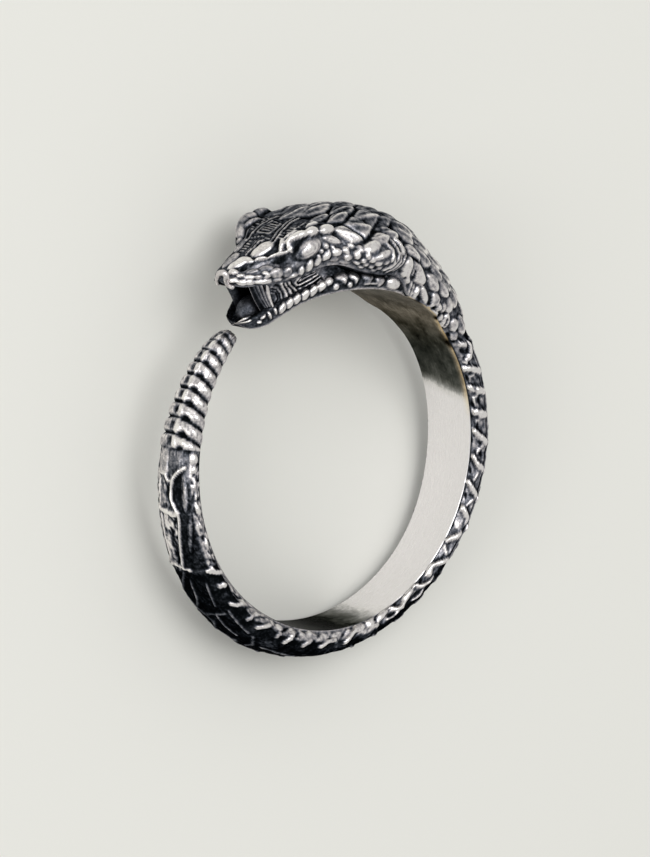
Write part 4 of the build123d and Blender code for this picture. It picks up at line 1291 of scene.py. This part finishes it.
lower_jaw = wrapped_mesh("lower_jaw", jaw_points, marks, blackened, (0.05, 0.30))
give_inside(lower_jaw)

# %% [markdown]
# ## Inside the mouth
#
# The corner of the mouth is closed by a fold of skin, modelled with fine arcs like a fingerprint
# and long loops. In front of it a tooth in its sheath hangs from the upper jaw down to the lower,
# and a tongue fills the floor.

# %% The folds of the mouth's corners
FOLD_SPAN = 10.0
FOLD_THICKNESS = 0.34
FOLD_RIBS = ribs_from([
    (0.045, 0.05, 0.32, 124.2, 5.2, 123.5, 5.8, 123.2, 6.8, 123.5, 7.8, 124.3, 8.4),
    (0.045, 0.05, 0.34, 124, 4.2, 122.9, 5.2, 122.4, 6.8, 122.9, 8.4, 124.1, 9.2),
    (0.05, 0.06, 0.36, 123.8, 3.2, 122.3, 4.5, 121.6, 6.7, 122.2, 8.9, 123.4, 9.8),
    (0.09, 0.1, 0.55, 120.5, 3.6, 120.3, 4.9, 119.9, 6.7, 120.1, 9.4),
    (0.09, 0.1, 0.55, 119.4, 4.2, 119.2, 5.3, 118.4, 7, 118.5, 9.6),
    (0.08, 0.09, 0.52, 118, 4.4, 117.8, 5.8, 116.8, 7.5, 116.3, 9.4),
    (0.045, 0.07, 0.5, 108.8, 5.2, 111.2, 5.4, 113.8, 5.7, 114.5, 5.6, 113.7, 5, 111.2, 4.5, 109.1,
     4.1),
    (0.06, 0.08, 0.55, 108.1, 6.4, 110.7, 7, 113.3, 7.3, 115.3, 7, 115.8, 5.8, 114.8, 4.5, 112.6,
     3.9, 110.1, 3.3),
    (0.06, 0.07, 0.42, 107.5, 7.3, 110.5, 8.5, 113.2, 8.7, 115.4, 8.7),
])
FOLD_GROOVES = [
    (124.1, 4.7, 123.2, 5.5, 122.8, 6.8, 123.2, 8.1, 124.2, 8.8),
    (123.9, 3.7, 122.6, 4.85, 122, 6.75, 122.55, 8.65, 123.7, 9.5),
    (122.6, 2.9, 121.3, 4.3, 120.9, 6.7, 121.4, 9.4),
    (119.9, 3.6, 119.7, 5, 119.1, 6.9, 119.3, 9.5),
    (118.7, 4, 118.5, 5.5, 117.6, 7.2, 117.4, 9.5),
    (117.3, 3.6, 116.9, 5.6, 116, 7.6, 115.6, 9.4),
    (109.4, 4.9, 111.2, 5, 113.4, 5.3),
    (108.5, 5.8, 111, 6.2, 113.6, 6.5, 114.9, 6.3, 115.2, 5.6, 114.2, 4.7, 112, 4.1, 109.5, 3.7),
    (107.8, 6.9, 110.6, 7.8, 113.3, 8, 115.6, 7.7),
    (107, 8.2, 110.4, 9.2, 113.2, 9.4),
]


def fold_sections(angles, sides, way):
    """Outlines of the fold on one side, down its front and up its rear."""
    upper, lower = look_up(SKULL, angles), look_up(JAW, angles)
    top_z, foot_z = 0.86 * upper.lip * HEAD_HALF_WIDTH, 0.80 * lower.half * JAW_HALF_WIDTH
    top_r = upper.lip_up * HEAD_HEIGHT + 0.22
    foot_r = lower.lip_up * JAW_THICKNESS - 0.22
    waist = np.minimum(top_z, foot_z) - 0.08, (top_r + foot_r) / 2
    front = from_shares([(top_z, top_r), waist, (foot_z, foot_r)], 1.0, 1.0)
    rear = smooth_run(front[:, ::-1] - (FOLD_THICKNESS, 0.0), np.linspace(0, 1, 7))
    ring = np.concatenate([smooth_run(front, sides / FOLD_SPAN), rear], axis=1)
    ring[:, :, 0] = (upper.shift * HEAD_HALF_WIDTH)[:, None] + way * ring[:, :, 0]
    return ring


fold_angles = np.linspace(98.0, 125.5, 92)
fold_sides = np.linspace(0.0, FOLD_SPAN, 33)
thick_ribs = [r._replace(half_width=1.3 * r.half_width, rub=r.rub + 0.06) for r in FOLD_RIBS]
grooves = [rib_along(row, 0.036, -0.02, 0.08) for row in FOLD_GROOVES]
for name, way, seed in (("near_fold", 1, 27), ("far_fold", -1, 37)):
    fold_points = round_the_hole(fold_angles, fold_sections(fold_angles, fold_sides, way))
    fold = Sheet(fold_points, fold_angles, fold_sides, 0.16)
    fold.rub += 0.36 * fold.between(105.5, 124.5, 1.2)
    fold.press_ribs(thick_ribs + grooves)
    fold_points, polish = raise_sheet(fold_points, fold, 1.0, seed, 0.05)
    wrapped_mesh(name, fold_points, {"polish": polish}, blackened, (0.02, 0.02))

# %% The teeth in their sheaths
Strand = namedtuple("Strand", "top_angle top_z top_up foot_angle foot_z foot_up rub")
# The low rubs paint the sheath's side face dark as painted shade; the high ones are its bare face
STRANDS = named(Strand, [
    (129, 1.02, 2.36, 129.3, 1.06, 0.55, 0.75),
    (128.6, 0.98, 2.34, 128.9, 1.05, 0.5, 0.1),
    (128, 0.95, 2.25, 128.2, 1.14, 0.45, 0.04),
    (127.6, 1.04, 2.2, 127.8, 1.3, 0.4, 0.42),
    (127.2, 1, 2.15, 127.6, 1.32, 0.4, 0.16),
    (126.7, 1.14, 2.1, 127.4, 1.4, 0.38, 0.62),
    (126.3, 1.08, 2.06, 127.2, 1.42, 0.37, 0.22),
    (125.8, 1.24, 2, 127.1, 1.5, 0.36, 0.7),
    (125.4, 1.18, 1.95, 127, 1.52, 0.35, 0.3),
    (125, 1.38, 1.9, 126.9, 1.62, 0.34, 0.92),
    (124.2, 1.36, 1.86, 126.5, 1.62, 0.34, 0.88),
    (123.6, 1, 1.75, 126, 1.2, 0.34, 0.1),
    (124.5, 0.55, 1.9, 126.8, 0.8, 0.34, 0.04),
    (127.5, 0.5, 2.2, 128.3, 0.75, 0.45, 0.04),
])


SHEATH_BOW = 0.10
TOOTH_ROWS = 24
TOOTH_COLUMNS = 84


def sheath_points(way):
    """A wrapped grid between strands that run from the upper jaw to the lower, and its polish."""
    ends = np.array(STRANDS + STRANDS[:1])
    turn = np.linspace(0, len(STRANDS), TOOTH_COLUMNS, endpoint=False)
    s = Strand(*(np.interp(turn, np.arange(len(ends)), column) for column in ends.T))
    f = np.linspace(0, 1, TOOTH_ROWS)[:, None]
    angle = np.radians(s.top_angle * (1 - f) + s.foot_angle * f)
    z = s.top_z * (1 - f) + s.foot_z * f - np.sin(np.pi * f) * SHEATH_BOW
    r = FINGER_RADIUS + (s.top_up * (1 - f) + s.foot_up * f)
    shift = look_up(SKULL, np.array([125.0])).shift * HEAD_HALF_WIDTH
    points = np.stack([r * np.cos(angle), r * np.sin(angle), shift + way * z], axis=2)
    return points, np.broadcast_to(s.rub, z.shape)


# Painted shade: the far tooth has half the polish of the near one
for name, way, bright in (("near_tooth", 1, 1.0), ("far_tooth", -1, 0.5)):
    tooth_points, tooth_polish = sheath_points(way)
    wrapped_mesh(name, tooth_points, {"polish": tooth_polish * bright}, blackened, (0.02, 0.02))

# %% The tongue
TONGUE_ANGLE = 128.3
TONGUE_RADIUS = 0.62
TONGUE_STRETCH = 1.45
TONGUE_SWELL = 1.25


def tongue():
    """A smooth oval that lies on the floor of the mouth."""
    bm = bmesh.new()
    bmesh.ops.create_uvsphere(bm, u_segments=48, v_segments=32, radius=TONGUE_RADIUS)
    layer = bm.verts.layers.float.new("polish")
    angle = np.radians(TONGUE_ANGLE)
    out = Vector((np.cos(angle), np.sin(angle), 0))
    ahead = Vector((-out.y, out.x, 0))
    across = Vector((0, 0, 1))
    seat = out * (FINGER_RADIUS + 0.55) + across * 0.30
    for vert in bm.verts:
        place = seat + ahead * vert.co.x * TONGUE_STRETCH + out * vert.co.y * TONGUE_SWELL
        vert[layer] = 0.36
        vert.co = RING_TO_FRAME @ (place + across * vert.co.z)
    bmesh.ops.recalc_face_normals(bm, faces=bm.faces)
    finished("tongue", bm, blackened)


tongue()

# %% [markdown]
# ## The nose's curl
#
# The scale at the very tip of the snout is a raised curl, like a hook.

# %% A bent tube on the tip of the snout
CURL = [
    (0.02, 12.02), (0.20, 12.40), (0.66, 12.84), (1.10, 12.98), (1.20, 12.76), (0.94, 12.42),
    (0.84, 12.05), (1.15, 11.95)]
CURL_ANGLE = 132.5
CURL_RADIUS = 0.15
CURL_ROWS = 60
CURL_COLUMNS = 20


def tube_points(path, face_out):
    """A wrapped grid round a path in the plane that faces out, thinner at both ends."""
    fine = np.linspace(0, len(path) - 1, CURL_ROWS)
    line = np.stack([np.interp(fine, np.arange(len(path)), column) for column in path.T], axis=1)
    for _ in range(3):
        line[1:-1] = (line[:-2] + line[1:-1] * 2 + line[2:]) / 4
    ahead = np.gradient(line, axis=0)
    ahead /= np.linalg.norm(ahead, axis=1, keepdims=True)
    beside = np.cross(ahead, face_out)
    beside /= np.linalg.norm(beside, axis=1, keepdims=True)
    upward = np.cross(beside, ahead)
    turns = np.linspace(0, 2 * np.pi, CURL_COLUMNS, endpoint=False)[:, None]
    size = CURL_RADIUS * (0.75 + 0.25 * np.sin(np.pi * np.linspace(0.05, 0.95, CURL_ROWS)))
    ring = beside[:, None] * np.cos(turns) + upward[:, None] * np.sin(turns)
    return line[:, None] + ring * size[:, None, None]


turn = np.radians(CURL_ANGLE)
curl_path = np.array([(r * np.cos(turn), r * np.sin(turn), z) for z, r in CURL])
curl = tube_points(curl_path, (-np.sin(turn), np.cos(turn), 0.0))
wrapped_mesh("nose_curl", curl, {"polish": np.full(curl.shape[:2], 0.85)}, blackened, (0.08, 0.08))

# %% [markdown]
# ## Floor, light and camera
#
# A plain pale floor, a large soft light overhead, a weaker one from the left and a dim white sky,
# and the camera that the picture was measured with: a long lens, looking down at the lying ring
# at forty-eight degrees.

# %% The floor
def pale_floor():
    bm = bmesh.new()
    bmesh.ops.create_grid(bm, x_segments=1, y_segments=1, size=3.0)
    mesh = bpy.data.meshes.new("pale_floor")
    bm.to_mesh(mesh)
    bm.free()
    floor = bpy.data.objects.new("pale_floor", mesh)
    bpy.context.scene.collection.objects.link(floor)
    material = bpy.data.materials.new("pale_floor")
    material.use_nodes = True
    shader = material.node_tree.nodes["Principled BSDF"]
    shader.inputs["Base Color"].default_value = (0.80, 0.797, 0.755, 1.0)
    shader.inputs["Roughness"].default_value = 0.9
    mesh.materials.append(material)


pale_floor()

# %% Light
Lamp = namedtuple("Lamp", "name place size power")
LAMPS = [
    Lamp("overhead", (-0.06, 0.12, 0.40), 0.30, 0.63),
    Lamp("left_side", (-0.35, -0.05, 0.18), 0.16, 0.30),
]
world = bpy.data.worlds.new("studio")
bpy.context.scene.world = world
world.use_nodes = True
sky = world.node_tree.nodes["Background"].inputs
sky["Color"].default_value = (1.0, 1.0, 0.98, 1.0)
sky["Strength"].default_value = 0.60
for lamp in LAMPS:
    light = bpy.data.lights.new(lamp.name, "AREA")
    light.shape = "DISK"
    light.size = lamp.size
    light.energy = lamp.power
    holder = bpy.data.objects.new(lamp.name, light)
    holder.location = lamp.place
    holder.rotation_euler = (-Vector(lamp.place)).to_track_quat("-Z", "Y").to_euler()
    bpy.context.scene.collection.objects.link(holder)

# %% Camera
PICTURE_WIDTH = 650
VIEW_RIGHT = Vector((0.74690357, 0.09679478, 0.6578494))
VIEW_UP = Vector((0.0, 0.98934783, -0.14557086))
VIEW_BACK = Vector((-0.66493237, 0.10872739, 0.73894742))
VIEW_DISTANCE = 300.0
PIXELS_PER_MM = 19.05158229
AIM = Vector((-0.17, 0.17, 0.0))
OFF_CENTRE = (8.07861968, 22.38660305)
SENSOR_WIDTH = 36.0

camera_data = bpy.data.cameras.new("camera")
camera_data.sensor_fit = "HORIZONTAL"
camera_data.sensor_width = SENSOR_WIDTH
camera_data.lens = SENSOR_WIDTH * PIXELS_PER_MM * VIEW_DISTANCE / PICTURE_WIDTH
camera_data.shift_x = OFF_CENTRE[0] / PICTURE_WIDTH
camera_data.shift_y = OFF_CENTRE[1] / PICTURE_WIDTH
camera_data.clip_start = 0.01
camera = bpy.data.objects.new("camera", camera_data)
view = Matrix((VIEW_RIGHT, VIEW_UP, VIEW_BACK)).transposed()
stand_at = Matrix.Translation(RING_TO_FRAME @ (AIM + VIEW_BACK * VIEW_DISTANCE))
camera.matrix_world = stand_at @ (lean_over @ view).to_4x4()
bpy.context.scene.collection.objects.link(camera)
bpy.context.scene.camera = camera
bpy.context.scene.view_settings.view_transform = "Standard"
print("camera at", tuple(camera.location))
